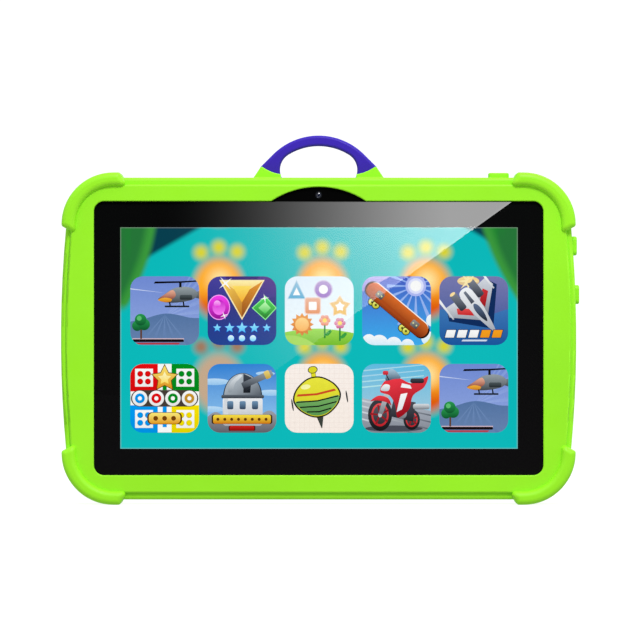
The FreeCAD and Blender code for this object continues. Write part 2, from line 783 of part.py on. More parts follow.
def stand_base():
    """Plate behind the silicone with two pairs of ears that carry the handle's pins."""
    body = new_body("stand_base")
    pad(body, "plate", "tablet_back_y", "tablet_back_y + stand_base_depth",
        rounded_rectangle("0", middle("stand_base_low_z", "stand_base_high_z"), "2 * stand_base_half_width",
                          "stand_base_high_z - stand_base_low_z", "2"))
    rise = "ear_radius"
    ear = outline(("tablet_back_y", f"pivot_z - {rise}", None), (PIVOT_Y, f"pivot_z - {rise}", rise),
                  (f"{PIVOT_Y} + {rise}", "pivot_z", rise), (PIVOT_Y, f"pivot_z + {rise}", None),
                  ("tablet_back_y", f"pivot_z + {rise}", None))
    lows = {"right_inner": "handle_low_inner_x - ear_gap - ear_width",
            "right_outer": "handle_half_width + ear_gap",
            "left_inner": "-handle_low_inner_x + ear_gap",
            "left_outer": "-handle_half_width - ear_gap - ear_width"}
    for name, low in lows.items():
        pad(body, f"{name}_ear", low, f"{low} + ear_width", ear, role="YZ_Plane")
    pocket(body, "pin_holes", "-stand_base_half_width", "stand_base_half_width",
           circle(PIVOT_Y, "pivot_z", "pin_radius"), role="YZ_Plane")


def stand_pins():
    length = "handle_half_width - handle_low_inner_x + 2 * ear_gap + 2 * ear_width"
    starts = {"right_pin": "handle_low_inner_x - ear_gap - ear_width",
              "left_pin": "-handle_half_width - ear_gap - ear_width"}
    keep(several("stand_pins", *[rod(name, "pin_radius", start, PIVOT_Y, "pivot_z", length, "x")
                                 for name, start in starts.items()]), "stand_pins")


# ---------------------------------------------------------------- buttons

def pressed_box(label, edge, outward, across, along):
    """Box for a button on the right edge (outward is x) or the top edge (outward is z)."""
    return box(label, outward, across, along) if edge == "right" else box(label, along, across, outward)


def button(name, edge, along, outer, pad_length):
    """Soft pad, hard key, switch plunger and switch body of one button, from outside to inside."""
    wall = TABLET_SIDE if edge == "right" else TABLET_TOP
    role = "YZ_Plane" if edge == "right" else "XY_Plane"
    middles = ("0", along) if edge == "right" else (along, "0")
    widths = ("pad_thickness", pad_length) if edge == "right" else (pad_length, "pad_thickness")
    soft = new_body(f"{name}_pad")
    pad(soft, f"{name}_block", f"{wall} + key_proud", outer, rounded_rectangle(*middles, *widths, "pad_corner"),
        role=role)
    round_edges(soft, f"{name}_pad_round", "pad_rounding", lies_at("x" if edge == "right" else "z", outer))
    inside = f"{wall} - shell_wall - 0.05"
    stem_end = f"{inside} - flange_depth - stem_depth"
    key = fuse(f"{name}_key",
               pressed_box(f"{name}_cap", edge, (inside, f"{wall} + key_proud"), about("0", "key_thickness"),
                           about(along, "key_length")),
               pressed_box(f"{name}_flange", edge, (f"{inside} - flange_depth", inside),
                           about("0", "flange_thickness"), about(along, "flange_length")),
               pressed_box(f"{name}_stem", edge, (stem_end, inside), about("0", "stem_width"),
                           about(along, "stem_width")))
    keep(key, f"{name}_key")
    low = f"{stem_end} - plunger_length"
    spot = (low, "0", along) if edge == "right" else (along, "0", low)
    keep(rod(f"{name}_plunger", "plunger_radius", *spot, "plunger_length", "x" if edge == "right" else "z"),
         f"{name}_plunger")
    face = f"{low} + 0.2"
    bore_spot = [f"{face} - switch_bore_depth" if text == low else text for text in spot]
    bore = rod(f"{name}_switch_bore", "plunger_radius + 0.1", *bore_spot, "switch_bore_depth + 1",
               "x" if edge == "right" else "z")
    body = pressed_box(f"{name}_switch_block", edge, (f"{face} - switch_depth", face),
                       about("0", "switch_thickness"), about(along, "switch_length"))
    keep(cut(f"{name}_switch", body, bore), f"{name}_switch")


def buttons():
    button("power", "top", "power_x", "power_outer_z", "power_pad_length")
    button("volume_up", "right", "volume_up_z", "volume_up_outer_x", "volume_pad_length")
    button("volume_down", "right", "volume_down_z", "volume_down_outer_x", "volume_pad_length")


# ---------------------------------------------------------------- tablet shell and screen

def front_frame():
    body = new_body("front_frame")
    pad(body, "rim", "tablet_front_y", "parting_y",
        rounded_rectangle("0", "case_mid_z", "tablet_width", "tablet_height", "tablet_radius"))
    pocket(body, "glass_seat", "tablet_front_y", "tablet_front_y + glass_depth + tape_depth",
           rounded_rectangle("0", "glass_mid_z", "glass_width + 2 * glass_margin",
                             "glass_height + 2 * glass_margin", "glass_radius + glass_margin"))
    pocket(body, "lcd_opening", "tablet_front_y", "parting_y",
           rectangle("-(lcd_tray_width / 2 + 0.1)", "lcd_tray_width / 2 + 0.1",
                     "lcd_mid_z - lcd_tray_height / 2 - 0.1", "lcd_mid_z + lcd_tray_height / 2 + 0.1"))
    pocket(body, "flex_notch", "tablet_front_y + glass_depth", "parting_y",
           rectangle("lcd_tray_width / 2 - 1", "lcd_tray_width / 2 + 1", f"{FLEX_LOW_Z} - 0.3",
                     f"{FLEX_HIGH_Z} + 0.3"))
    pocket(body, "underside", SHELF_BACK, "parting_y",
           rounded_rectangle("0", "case_mid_z", "tablet_width - 2 * shell_wall",
                             "tablet_height - 2 * shell_wall", "tablet_radius - shell_wall"))
    pad(body, "screw_posts", SHELF_BACK, "parting_y", *[circle(x, z, "boss_radius") for x, z in SCREW_PLACES])
    pocket(body, "screw_holes", SHELF_BACK, "parting_y + 1",
           *[circle(x, z, "screw_radius") for x, z in SCREW_PLACES])
    pocket(body, "camera_hole", "tablet_front_y - 1", SHELF_BACK,
           circle("0", "front_camera_z", "front_camera_radius"))


def rear_cover():
    body = new_body("rear_cover")
    pad(body, "tub", "parting_y", "tablet_back_y",
        rounded_rectangle("0", "case_mid_z", "tablet_width", "tablet_height", "tablet_radius"))
    pocket(body, "inside", "parting_y", SHELL_FLOOR_Y,
           rounded_rectangle("0", "case_mid_z", "tablet_width - 2 * shell_wall",
                             "tablet_height - 2 * shell_wall", "tablet_radius - shell_wall"))
    pad(body, "screw_posts", "parting_y", f"{SHELL_FLOOR_Y} + 0.2",
        *[circle(x, z, "boss_radius") for x, z in SCREW_PLACES])
    pocket(body, "screw_holes", "parting_y - 1", "tablet_back_y + 1",
           *[circle(x, z, "screw_radius") for x, z in SCREW_PLACES])
    pocket(body, "screw_seats", "tablet_back_y - screw_head_depth", "tablet_back_y + 1",
           *[circle(x, z, "screw_head_radius + 0.1") for x, z in SCREW_PLACES])
    inner_side = f"{TABLET_SIDE} - shell_wall - 1"
    pocket(body, "ports", inner_side, f"{TABLET_SIDE} + 1",
           rounded_rectangle("0", "usb_z", "2 * board_front_y + 0.4", "usb_width + 0.4", "0.2"),
           circle("jack_y", "jack_z", "jack_nose_radius + 0.05"),
           rounded_rectangle("card_y", "card_z", "card_gap + 0.6", "card_slot_height - 1.4", "0.4"),
           role="YZ_Plane")
    thick, long = "key_thickness + 2 * key_gap", "key_length + 2 * key_gap"
    pocket(body, "volume_slots", inner_side, f"{TABLET_SIDE} + 1",
           *[rounded_rectangle("0", spot, thick, long, "0.1") for spot in ("volume_up_z", "volume_down_z")],
           role="YZ_Plane")
    pocket(body, "power_slot", f"{TABLET_TOP} - shell_wall - 1", f"{TABLET_TOP} + 1",
           rounded_rectangle("power_x", "0", long, thick, "0.1"), role="XY_Plane")
    pocket(body, "camera_hole", SHELL_FLOOR_Y, "tablet_back_y + 1",
           circle("rear_camera_x", "rear_camera_z", "rear_camera_radius"))
    slot = pocket(body, "sound_slot", SHELL_FLOOR_Y, "tablet_back_y + 1",
                  rounded_rectangle(FIRST_SLOT_X, "speaker_z", "sound_slot_width", "sound_slot_length",
                                    "sound_slot_width / 2 - 0.02"))
    repeat(body, "sound_slots", slot, "X_Axis", SOUND_SLOTS, SLOT_SPREAD)


def flat_piece(label, low, high, *profiles):
    """Body made of one pad parallel to the screen."""
    body = new_body(label)
    pad(body, f"{label}_pad", low, high, *profiles)
    return body


def screen():
    glass_back = "tablet_front_y + glass_depth"
    flat_piece("cover_glass", "tablet_front_y", glass_back,
               rounded_rectangle("0", "glass_mid_z", "glass_width", "glass_height", "glass_radius"))
    flat_piece("touch_sensor", glass_back, f"{glass_back} + sensor_depth",
               rounded_rectangle("0", "lcd_mid_z", "lcd_width", "lcd_height", "1"))
    flat_piece("glass_tape", glass_back, f"{glass_back} + tape_depth",
               rounded_rectangle("0", "glass_mid_z", "glass_width - 0.6", "glass_height - 0.6", "glass_radius"),
               rectangle("-(lcd_tray_width / 2 + 1.2)", "lcd_tray_width / 2 + 1.2",
                         "lcd_mid_z - lcd_tray_height / 2 - 0.4", "lcd_mid_z + lcd_tray_height / 2 + 0.4"))
    flat_piece("lcd_panel", "lcd_front_y", "lcd_glass_back_y",
               rounded_rectangle("0", "lcd_mid_z", "lcd_width", "lcd_height", "0.5"))
    flat_piece("lcd_backlight", "lcd_glass_back_y", "backlight_back_y",
               rounded_rectangle("0", "lcd_mid_z", "lcd_width + 1.2", "lcd_height + 1.2", "0.5"))
    tray = flat_piece("lcd_frame", "lcd_front_y", "lcd_back_y",
                      rounded_rectangle("0", "lcd_mid_z", "lcd_tray_width", "lcd_tray_height", "1"))
    pocket(tray, "tray_inside", "lcd_front_y - 1", "backlight_back_y",
           rounded_rectangle("0", "lcd_mid_z", "lcd_tray_width - 2 * lcd_tray_wall",
                             "lcd_tray_height - 2 * lcd_tray_wall", "0.6"))
    lead_z = (FLEX_LOW_Z, FLEX_HIGH_Z)
    drop = "lcd_tray_width / 2 + touch_flex_reach"
    front = f"{glass_back} + sensor_depth"
    touch_flex = fuse("touch_flex",
                      box("touch_flex_front", ("lcd_width / 2 - touch_flex_overlap", drop),
                          (front, f"{front} + flex_thickness"), lead_z),
                      box("touch_flex_drop", (f"{drop} - flex_thickness", drop), (front, "board_front_y"),
                          lead_z),
                      box("touch_flex_end", (f"{drop} - touch_flex_foot", drop),
                          ("board_front_y - flex_thickness", "board_front_y"), lead_z))
    keep(touch_flex, "touch_flex")
    keep(box("lcd_flex", ("lcd_flex_left_x", "lcd_flex_right_x"), ("lcd_back_y", "lcd_back_y + flex_thickness"),
             ("lcd_flex_low_z", "lcd_flex_high_z")), "lcd_flex")


# ---------------------------------------------------------------- board and its parts

def mainboard():
    thickness = ("board_front_y - 1", "board_back_y + 1")
    board = box("board_blank", ("board_left_x", "board_right_x"), ("board_front_y", "board_back_y"),
                ("board_low_z", "board_high_z"))
    openings = [box("jack_notch", ("jack_notch_x", "board_right_x + 1"), thickness,
                    about("jack_z", "(jack_block_height + 0.6)")),
                box("corner_notch", ("corner_notch_x", "board_right_x + 1"), thickness,
                    ("corner_notch_z", "board_high_z + 1"))]
    posts = [(x, z, "boss_radius + 0.3") for x, z in SCREW_PLACES
             if x == "screw_x" and number(z) > number("board_low_z")]
    own_screws = [("board_screw_x", z) for z in ("board_screw_low_z", "board_screw_high_z")]
    holes = posts + [(x, z, "screw_radius") for x, z in own_screws]
    for index, (x, z, radius) in enumerate(holes):
        openings.append(rod(f"board_hole_{index}", radius, x, "board_front_y - 1", z, "3", "y"))
    keep(cut("mainboard", board, *openings), "mainboard")
    screws = []
    for index, (x, z) in enumerate(own_screws):
        shaft = rod(f"board_screw_shaft_{index}", "screw_radius", x, "board_front_y", z,
                    f"{SHELL_FLOOR_Y} - board_front_y", "y")
        head = rod(f"board_screw_head_{index}", "board_screw_head_radius", x,
                   "board_front_y - board_screw_head_depth", z, "board_screw_head_depth", "y")
        screws.append(fuse(f"board_screw_{index}", shaft, head))
    keep(several("board_screws", *screws), "board_screws")


def on_board(label, x_ends, depth, z_ends):
    """Box that stands on the side of the board that faces the screen."""
    return box(label, x_ends, (f"board_front_y - {depth}", "board_front_y"), z_ends)


def chips():
    can = cut("shield_can",
              on_board("can_outside", about("shield_x", "shield_width"), "shield_depth",
                       about("shield_z", "shield_height")),
              box("can_inside", about("shield_x", "(shield_width - 2 * shield_wall)"),
                  ("board_front_y - shield_depth + shield_wall", "board_front_y + 1"),
                  about("shield_z", "(shield_height - 2 * shield_wall)")))
    keep(can, "shield_can")
    keep(on_board("processor_chip", about("processor_x", "processor_size"), "processor_depth",
                  about("processor_z", "processor_size")), "processor_chip")
    keep(several("memory_chips", *[
        on_board(f"{name}_chip", ("memory_left_x", f"memory_left_x + {name}_width"), "memory_depth",
                 (f"{name}_z", f"{name}_z + {name}_height")) for name in ("low_memory", "high_memory")]),
         "memory_chips")
    can = on_board("microphone_can", about("microphone_x", "microphone_width"), "microphone_depth",
                   about("microphone_z", "microphone_height"))
    port = rod("microphone_port", "microphone_port_radius", "microphone_x",
               "board_front_y - microphone_depth - 0.4", "microphone_z", "0.5", "y")
    keep(cut("microphone", can, port), "microphone")


def sockets():
    shell = box("usb_outside", ("usb_left_x", PORT_MOUTH), ("-board_front_y", "board_front_y"),
                about("usb_z", "usb_width"))
    inside = "usb_left_x + usb_back_wall"
    hollow = box("usb_inside", (inside, f"{TABLET_SIDE} + 1"), about("0", "(2 * board_front_y - 2 * usb_wall)"),
                 about("usb_z", "(usb_width - 2 * usb_wall)"))
    keep(cut("usb_socket", shell, hollow), "usb_socket")
    keep(box("usb_tongue", (inside, f"{TABLET_SIDE} - usb_tongue_recess"), about("0", "usb_tongue_thickness"),
             about("usb_z", "usb_tongue_width")), "usb_tongue")
    against_wall = f"{TABLET_SIDE} - shell_wall - 0.1"
    block = box("jack_block", ("jack_left_x", against_wall), ("jack_block_front_y", "jack_block_back_y"),
                about("jack_z", "jack_block_height"))
    nose = rod("jack_nose", "jack_nose_radius", "jack_left_x", "jack_y", "jack_z",
               f"{PORT_MOUTH} - jack_left_x", "x")
    bore = rod("jack_bore", "jack_radius", f"{PORT_MOUTH} - jack_bore_depth", "jack_y", "jack_z",
               "jack_bore_depth + 1", "x")
    keep(cut("headphone_jack", fuse("jack_outside", block, nose), bore), "headphone_jack")
    card = cut("card_slot",
               box("card_outside", ("card_slot_left_x", against_wall), ("card_slot_front_y", "board_front_y"),
                   about("card_z", "card_slot_height")),
               box("card_inside", ("card_slot_left_x + 1", f"{TABLET_SIDE} + 1"), about("card_y", "card_gap"),
                   about("card_z", "(card_slot_height - 2 * card_slot_wall)")))
    keep(card, "card_slot")


def power_supply():
    keep(box("battery", ("battery_left_x", "battery_right_x"), ("battery_front_y", "battery_back_y"),
             ("battery_low_z", "battery_high_z")), "battery")
    strips = []
    for index in range(2):
        left = f"battery_tape_left_x + {index} * battery_tape_spacing"
        strips.append(box(f"battery_strip_{index}", (left, f"{left} + battery_tape_width"),
                          ("battery_back_y", SHELL_FLOOR_Y),
                          ("battery_low_z + battery_tape_margin", "battery_high_z - battery_tape_margin")))
    keep(several("battery_tape", *strips), "battery_tape")
    keep(on_board("battery_plug", ("battery_plug_left_x", "battery_plug_right_x"), "battery_plug_depth",
                  ("battery_plug_low_z", "battery_plug_high_z")), "battery_plug")
    wires = []
    for start, end in (("battery_high_z - 6", "battery_plug_low_z + 2.9"),
                       ("battery_high_z - 7.6", "battery_plug_low_z + 1.3")):
        route = [("battery_right_x", start), ("battery_right_x + 6", start), ("battery_plug_left_x - 6", end),
                 ("battery_plug_left_x", end)]
        wires.append([(x, "battery_lead_y", z) for x, z in route])
    wire_solid("battery_lead", "battery_lead_radius", *wires)


def sound():
    keep(box("speaker", about("speaker_x", "speaker_length"), ("speaker_front_y", "speaker_back_y"),
             about("speaker_z", "speaker_height")), "speaker")
    ring = cut("speaker_gasket",
               box("gasket_outside", about("speaker_x", "gasket_length"), ("speaker_back_y", SHELL_FLOOR_Y),
                   about("speaker_z", "speaker_height")),
               box("gasket_inside", about("speaker_x", "gasket_inner_length"),
                   ("speaker_back_y - 0.5", f"{SHELL_FLOOR_Y} + 0.5"),
                   about("speaker_z", "gasket_inner_height")))
    keep(ring, "speaker_gasket")
    route = [("speaker_x + speaker_length / 2", "speaker_z"), ("-40", "26"), ("-12", "30"), ("16", "27"),
             ("40", "32"), ("56", "45")]
    wire_solid("speaker_lead", "speaker_lead_radius", [(x, "speaker_lead_y", z) for x, z in route])


def cameras():
    half = "front_camera_size / 2"
    barrel_front = "tablet_front_y + front_barrel_depth"
    module = fuse("front_camera",
                  box("front_camera_block", about("0", "front_camera_size"),
                      (SHELF_BACK, "front_camera_back_y"), about("front_camera_z", "front_camera_size")),
                  rod("front_camera_barrel", "front_camera_radius - 0.1", "0", barrel_front, "front_camera_z",
                      f"{SHELF_BACK} - ({barrel_front})", "y"))
    keep(module, "front_camera")
    keep(rod("front_camera_window", "front_camera_radius", "0", "tablet_front_y", "front_camera_z",
             "front_window_depth", "y"), "front_camera_window")
    keep(box("camera_flex", (half, "camera_flex_right_x"), ("camera_flex_y", "camera_flex_y + flex_thickness"),
             ("camera_flex_low_z", "camera_flex_high_z")), "camera_flex")
    x, z = "rear_camera_x", "rear_camera_z"
    inside = f"{SHELL_FLOOR_Y} - 0.9"
    window_front = "tablet_back_y - rear_window_depth"
    module = fuse("rear_camera",
                  box("rear_camera_block", about(x, "rear_camera_size"), ("rear_camera_front_y", SHELL_FLOOR_Y),
                      about(z, "rear_camera_size")),
                  rod("rear_camera_barrel", "rear_barrel_radius", x, inside, z,
                      f"{window_front} - 0.2 - ({inside})", "y"))
    keep(module, "rear_camera")
    keep(rod("rear_camera_window", "rear_window_radius", x, window_front, z, "rear_window_depth", "y"),
         "rear_camera_window")
    ring = cut("rear_camera_ring",
               rod("camera_ring_outside", "rear_camera_radius", x, SHELL_FLOOR_Y, z,
                   "shell_floor + camera_ring_proud", "y"),
               rod("camera_ring_inside", "rear_window_radius", x, inside, z, "4", "y"))
    keep(ring, "rear_camera_ring")


def radio():
    keep(box("wifi_antenna", ("antenna_left_x", "antenna_right_x"),
             (f"{SHELL_FLOOR_Y} - antenna_depth", SHELL_FLOOR_Y), ("antenna_low_z", "antenna_high_z")),
         "wifi_antenna")
    y = "antenna_lead_y"
    wire_solid("antenna_lead", "antenna_lead_radius",
               [("antenna_right_x", y, "116"), ("-20", y, "116"), ("0", y, "110"), ("18", y, "103"),
                ("board_left_x", "antenna_plug_y", "100")])


def cover_screws():
    screws = []
    for index, (x, z) in enumerate(SCREW_PLACES):
        head = rod(f"cover_screw_head_{index}", "screw_head_radius", x, "tablet_back_y - screw_head_depth", z,
                   "screw_head_depth", "y")
        start = f"{SHELF_BACK} + 0.2"
        shaft = rod(f"cover_screw_shaft_{index}", "screw_radius", x, start, z,
                    f"tablet_back_y - 0.2 - ({start})", "y")
        screws.append(fuse(f"cover_screw_{index}", shaft, head))
    keep(several("cover_screws", *screws), "cover_screws")


def check_and_write():
    """Stop on any failed object or bad shape, then write one STEP file for each sub-part."""
    document.recompute()
    failed = [item.Label for item in document.Objects if {"Invalid", "Error"} & set(item.State)]
    failed += [item.Label for item in pieces if item.Shape.isNull() or not item.Shape.isValid()]
    if failed:
        raise RuntimeError(f"failed objects: {failed}")
    os.makedirs("parts", exist_ok=True)
    for item in pieces:
        item.Shape.exportStep(f"parts/{item.Label}.step")


silicone_case()
handle_stand()
stand_base()
stand_pins()
buttons()
front_frame()
rear_cover()
screen()
mainboard()
chips()
sockets()
power_supply()
sound()
cameras()
radio()
cover_screws()
check_and_write()
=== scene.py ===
"""Looks of the children's tablet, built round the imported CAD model. Lengths are in millimetres."""

import math

import bmesh
import bpy
from mathutils import Euler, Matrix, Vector


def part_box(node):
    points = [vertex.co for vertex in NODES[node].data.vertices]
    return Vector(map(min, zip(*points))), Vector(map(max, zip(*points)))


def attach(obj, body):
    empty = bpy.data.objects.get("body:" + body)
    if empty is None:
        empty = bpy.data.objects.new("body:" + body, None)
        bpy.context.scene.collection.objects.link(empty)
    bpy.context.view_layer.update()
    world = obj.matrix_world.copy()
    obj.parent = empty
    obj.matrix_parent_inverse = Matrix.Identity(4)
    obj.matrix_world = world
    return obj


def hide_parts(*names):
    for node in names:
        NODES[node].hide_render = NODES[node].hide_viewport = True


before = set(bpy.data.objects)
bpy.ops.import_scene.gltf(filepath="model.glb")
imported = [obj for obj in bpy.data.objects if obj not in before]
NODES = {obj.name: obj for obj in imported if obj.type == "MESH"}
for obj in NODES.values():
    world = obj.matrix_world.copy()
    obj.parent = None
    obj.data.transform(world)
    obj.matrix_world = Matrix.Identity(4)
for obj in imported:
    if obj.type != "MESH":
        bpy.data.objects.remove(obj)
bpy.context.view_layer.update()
MM = 0.001
ALL_LIGHT, NO_LIGHT = (1.0, 1.0, 1.0, 1.0), (0.0, 0.0, 0.0, 1.0)
SCREEN_LIGHT = 1.05
GLASS_IOR = 1.5
PICTURE = (154.2, 85.9)
PICTURE_MIDDLE = (0.15, 64.6)


def srgb(red, green, blue):
    """Linear colour, with alpha, of three screen values from 0 to 255."""
    values = [value / 255 for value in (red, green, blue)]
    linear = [v / 12.92 if v <= 0.04045 else ((v + 0.055) / 1.055) ** 2.4 for v in values]
    return (*linear, 1.0)


def tint(colour):
    """A colour that may be given as six hexadecimal digits."""
    return srgb(*bytes.fromhex(colour)) if isinstance(colour, str) else colour


def mixed(first, second, share):
    return tuple(a + (b - a) * share for a, b in zip(first, second))


def scaled(colour, factor):
    return (*(min(1.0, value * factor) for value in colour[:3]), 1.0)


def placed(name, data):
    """A new object in the scene."""
    item = bpy.data.objects.new(name, data)
    bpy.context.scene.collection.objects.link(item)
    return item


def corners(node):
    """A CAD node's box in millimetres: (x0, x1), (y0, y1), (z0, z1)."""
    low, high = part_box(node)
    return [(low[axis] / MM, high[axis] / MM) for axis in range(3)]


# ---------------------------------------------------------------- materials

class Finish:
    """One material, with short calls for its nodes. Places are the object's own, in millimetres."""

    def __init__(self, name, **values):
        self.material = bpy.data.materials.new(name)
        self.material.use_nodes = True
        self.tree = self.material.node_tree
        self.surface = self.tree.nodes["Principled BSDF"]
        self.output = self.tree.nodes["Material Output"]
        place = self.add("ShaderNodeTexCoord").outputs["Object"]
        self.place = self.add("ShaderNodeMapping", {"Vector": place, "Scale": (1 / MM,) * 3}).outputs[0]
        self.set(**values)

    def add(self, kind, inputs=None, **settings):
        node = self.tree.nodes.new(kind)
        for name, value in settings.items():
            setattr(node, name, value)
        for key, value in (inputs or {}).items():
            self.feed(node.inputs[key], value)
        return node

    def feed(self, socket, value):
        if isinstance(value, bpy.types.NodeSocket):
            self.tree.links.new(value, socket)
        else:
            socket.default_value = value

    def set(self, **values):
        """Set or link sockets of the shader: base_color=..., roughness=..., coat_weight=..."""
        for name, value in values.items():
            title = " ".join(word.capitalize() for word in name.split("_")).replace("Ior", "IOR")
            self.feed(self.surface.inputs[title], value)
        return self

    def use_only(self, shader):
        """Put another shader in place of the usual one."""
        self.feed(self.output.inputs["Surface"], shader.outputs[0])
        self.tree.nodes.remove(self.surface)
        return self.material

    def noise(self, size, detail=2.0, distortion=0.0, place=None):
        """Noise from 0 to 1 whose features are about size millimetres across."""
        inputs = {"Vector": place or self.place, "Scale": 1 / size, "Detail": detail,
                  "Distortion": distortion}
        return self.add("ShaderNodeTexNoise", inputs).outputs[0]

    def cells(self, size, feature="F1", place=None):
        inputs = {"Vector": place or self.place, "Scale": 1 / size}
        return self.add("ShaderNodeTexVoronoi", inputs, feature=feature).outputs["Distance"]

    def stretched(self, x, y, z):
        return self.add("ShaderNodeMapping", {"Vector": self.place, "Scale": (x, y, z)}).outputs[0]

    def math(self, operation, *values, clamp=False):
        inputs = dict(enumerate(values))
        return self.add("ShaderNodeMath", inputs, operation=operation, use_clamp=clamp).outputs[0]

    def plus(self, first, second):
        return self.math("ADD", first, second)

    def minus(self, first, second):
        return self.math("SUBTRACT", first, second)

    def times(self, first, second):
        return self.math("MULTIPLY", first, second)

    def span(self, value, low, high, to_low=0.0, to_high=1.0, smooth=False):
        """The value's run from low to high, as a run from to_low to to_high, held at both ends."""
        inputs = {"Value": value, "From Min": low, "From Max": high, "To Min": to_low, "To Max": to_high}
        kind = "SMOOTHSTEP" if smooth else "LINEAR"
        return self.add("ShaderNodeMapRange", inputs, interpolation_type=kind, clamp=True).outputs[0]

    def blend(self, factor, first, second):
        inputs = {"Factor": factor, 6: first, 7: second}
        return self.add("ShaderNodeMix", inputs, data_type="RGBA").outputs[2]

    def paint(self, factor, first, second):
        self.set(base_color=self.blend(factor, first, second))

    def gloss(self, pattern, low, high):
        """Roughness that follows a pattern."""
        self.set(roughness=self.span(pattern, 0.3, 0.7, low, high))

    def axes(self):
        return self.add("ShaderNodeSeparateXYZ", {0: self.place}).outputs[:]

    def bump(self, height, depth):
        """Relief of the given depth in millimetres under the surface's own shape."""
        node = self.add("ShaderNodeBump", {"Height": height, "Strength": 1.0, "Distance": depth * MM})
        self.set(normal=node.outputs[0])
        return self


def moulded(name, colour, rough, grain, depth, variation=0.06, **values):
    """Moulded plastic or rubber: slow colour drift, uneven gloss and a fine spark-eroded grain."""
    finish = Finish(name, **values)
    drift = finish.span(finish.noise(38.0, 3.0), 0.3, 0.7)
    finish.paint(drift, scaled(colour, 1 - variation), scaled(colour, 1 + variation))
    smears = finish.plus(finish.noise(9.0, 4.0), finish.times(finish.noise(1.1), 0.4))
    finish.set(roughness=finish.span(smears, 0.45, 0.95, rough - 0.06, rough + 0.07))
    coarse = finish.cells(grain)
    fine = finish.noise(grain * 0.6, 3.0)
    return finish.bump(finish.plus(coarse, fine), depth).material


def silicone(name):
    return moulded(name, srgb(151, 238, 30), 0.5, 0.34, 0.004, 0.03, sheen_weight=0.05, sheen_roughness=0.45,
                   sheen_tint=srgb(200, 255, 120), specular_ior_level=0.3)


def painted_metal(name, colour, rough, brushed=(1.0, 1.0, 1.0)):
    """Metal with fine lines along the axis whose scale is small."""
    finish = Finish(name, metallic=1.0)
    lines = finish.noise(0.5, 3.0, place=finish.stretched(*brushed))
    finish.paint(lines, scaled(colour, 0.82), scaled(colour, 1.08))
    finish.gloss(lines, rough - 0.07, rough + 0.1)
    return finish.bump(lines, 0.002).material


def circuit_board(name):
    """Solder mask over copper: tracks, and tinned pads."""
    finish = Finish(name, specular_ior_level=0.5)
    copper = {"Vector": finish.stretched(1, 1, 1), "Scale": 0.16, "Mortar Size": 0.06,
              "Color1": (1, 1, 1, 1), "Color2": (1, 1, 1, 1), "Mortar": (0, 0, 0, 1)}
    tracks = finish.add("ShaderNodeTexBrick", copper).outputs["Color"]
    mask = finish.blend(finish.noise(6.0), srgb(12, 84, 52), srgb(18, 104, 66))
    pads = finish.span(finish.cells(3.4), 0.10, 0.14, 1.0, 0.0)
    with_tracks = finish.blend(tracks, srgb(40, 138, 88), mask)
    finish.paint(pads, with_tracks, srgb(205, 200, 176))
    finish.set(roughness=finish.span(pads, 0.0, 1.0, 0.42, 0.25), metallic=pads)
    return finish.bump(pads, 0.02).material


def two_tone(name, first, second, grain, rough, depth, **values):
    """Two shades of one grain (size, detail, distortion), which also sets the gloss and the relief."""
    finish = Finish(name, **values)
    pattern = finish.noise(*grain)
    finish.paint(pattern, first, second)
    finish.gloss(pattern, *rough)
    return finish.bump(pattern, depth).material


def polyimide(name):
    """Amber film with copper tracks side by side."""
    finish = Finish(name, specular_ior_level=0.5)
    _, _, z = finish.axes()
    wave = finish.math("SINE", finish.times(z, 2 * math.pi / 0.8))
    copper = finish.span(wave, 0.1, 0.4)
    finish.paint(copper, srgb(168, 92, 22), srgb(206, 134, 62))
    finish.gloss(finish.noise(2.0, 3.0), 0.24, 0.4)
    return finish.bump(copper, 0.01).material


def insulation(name):
    """Wire sleeve: red, with a slow change of shade along it."""
    finish = Finish(name)
    finish.paint(finish.noise(3.0), srgb(150, 22, 20), srgb(190, 34, 30))
    finish.gloss(finish.noise(0.8), 0.32, 0.48)
    return finish.bump(finish.noise(0.4), 0.01).material


def dark_glass(name, painted_coating_reflection):
    """Coated lens glass: near black, blended by noise with the coating's colour. That blue is a painted
    reflection: real coated glass shows it only in what it reflects.
    """
    finish = Finish(name, roughness=0.04, coat_weight=1.0, coat_roughness=0.02, specular_ior_level=0.7)
    # painted reflection: noise patches of the coating's blue laid into the base colour
    finish.paint(finish.noise(0.7), srgb(6, 7, 10), painted_coating_reflection)
    return finish.bump(finish.noise(0.5), 0.0005).material


def picture_paint(name):
    """Lit picture: each plate brings its colours, and the panel behind adds a faint unevenness."""
    finish = Finish(name, base_color=NO_LIGHT, roughness=0.6, specular_ior_level=0.0)
    colours = finish.add("ShaderNodeVertexColor", layer_name="paint").outputs["Color"]
    shade = finish.span(finish.noise(1.2, 3.0), 0.2, 0.8, 0.0, 0.07)
    finish.set(emission_color=finish.blend(shade, colours, NO_LIGHT), emission_strength=SCREEN_LIGHT)
    return finish.material


def clear_pane(name):
    """The glass over the picture: clear, with the plain reflection that glass has."""
    finish = Finish(name)
    clear = finish.add("ShaderNodeBsdfTransparent", {"Color": (0.99, 0.995, 0.99, 1.0)})
    rough = finish.span(finish.noise(14.0, 3.0), 0.3, 0.7, 0.0, 0.004)
    gloss = finish.add("ShaderNodeBsdfAnisotropic", {"Color": ALL_LIGHT, "Roughness": rough})
    edge = finish.add("ShaderNodeFresnel", {"IOR": GLASS_IOR}).outputs[0]
    both = finish.add("ShaderNodeMixShader", {0: edge, 1: clear.outputs[0], 2: gloss.outputs[0]})
    return finish.use_only(both)


def clear_back(name):
    """Inner face of the same glass, bonded to the picture, so it reflects nothing."""
    finish = Finish(name)
    clear = finish.add("ShaderNodeBsdfTransparent", {"Color": (0.995, 1.0, 0.995, 1.0)})
    return finish.use_only(clear)


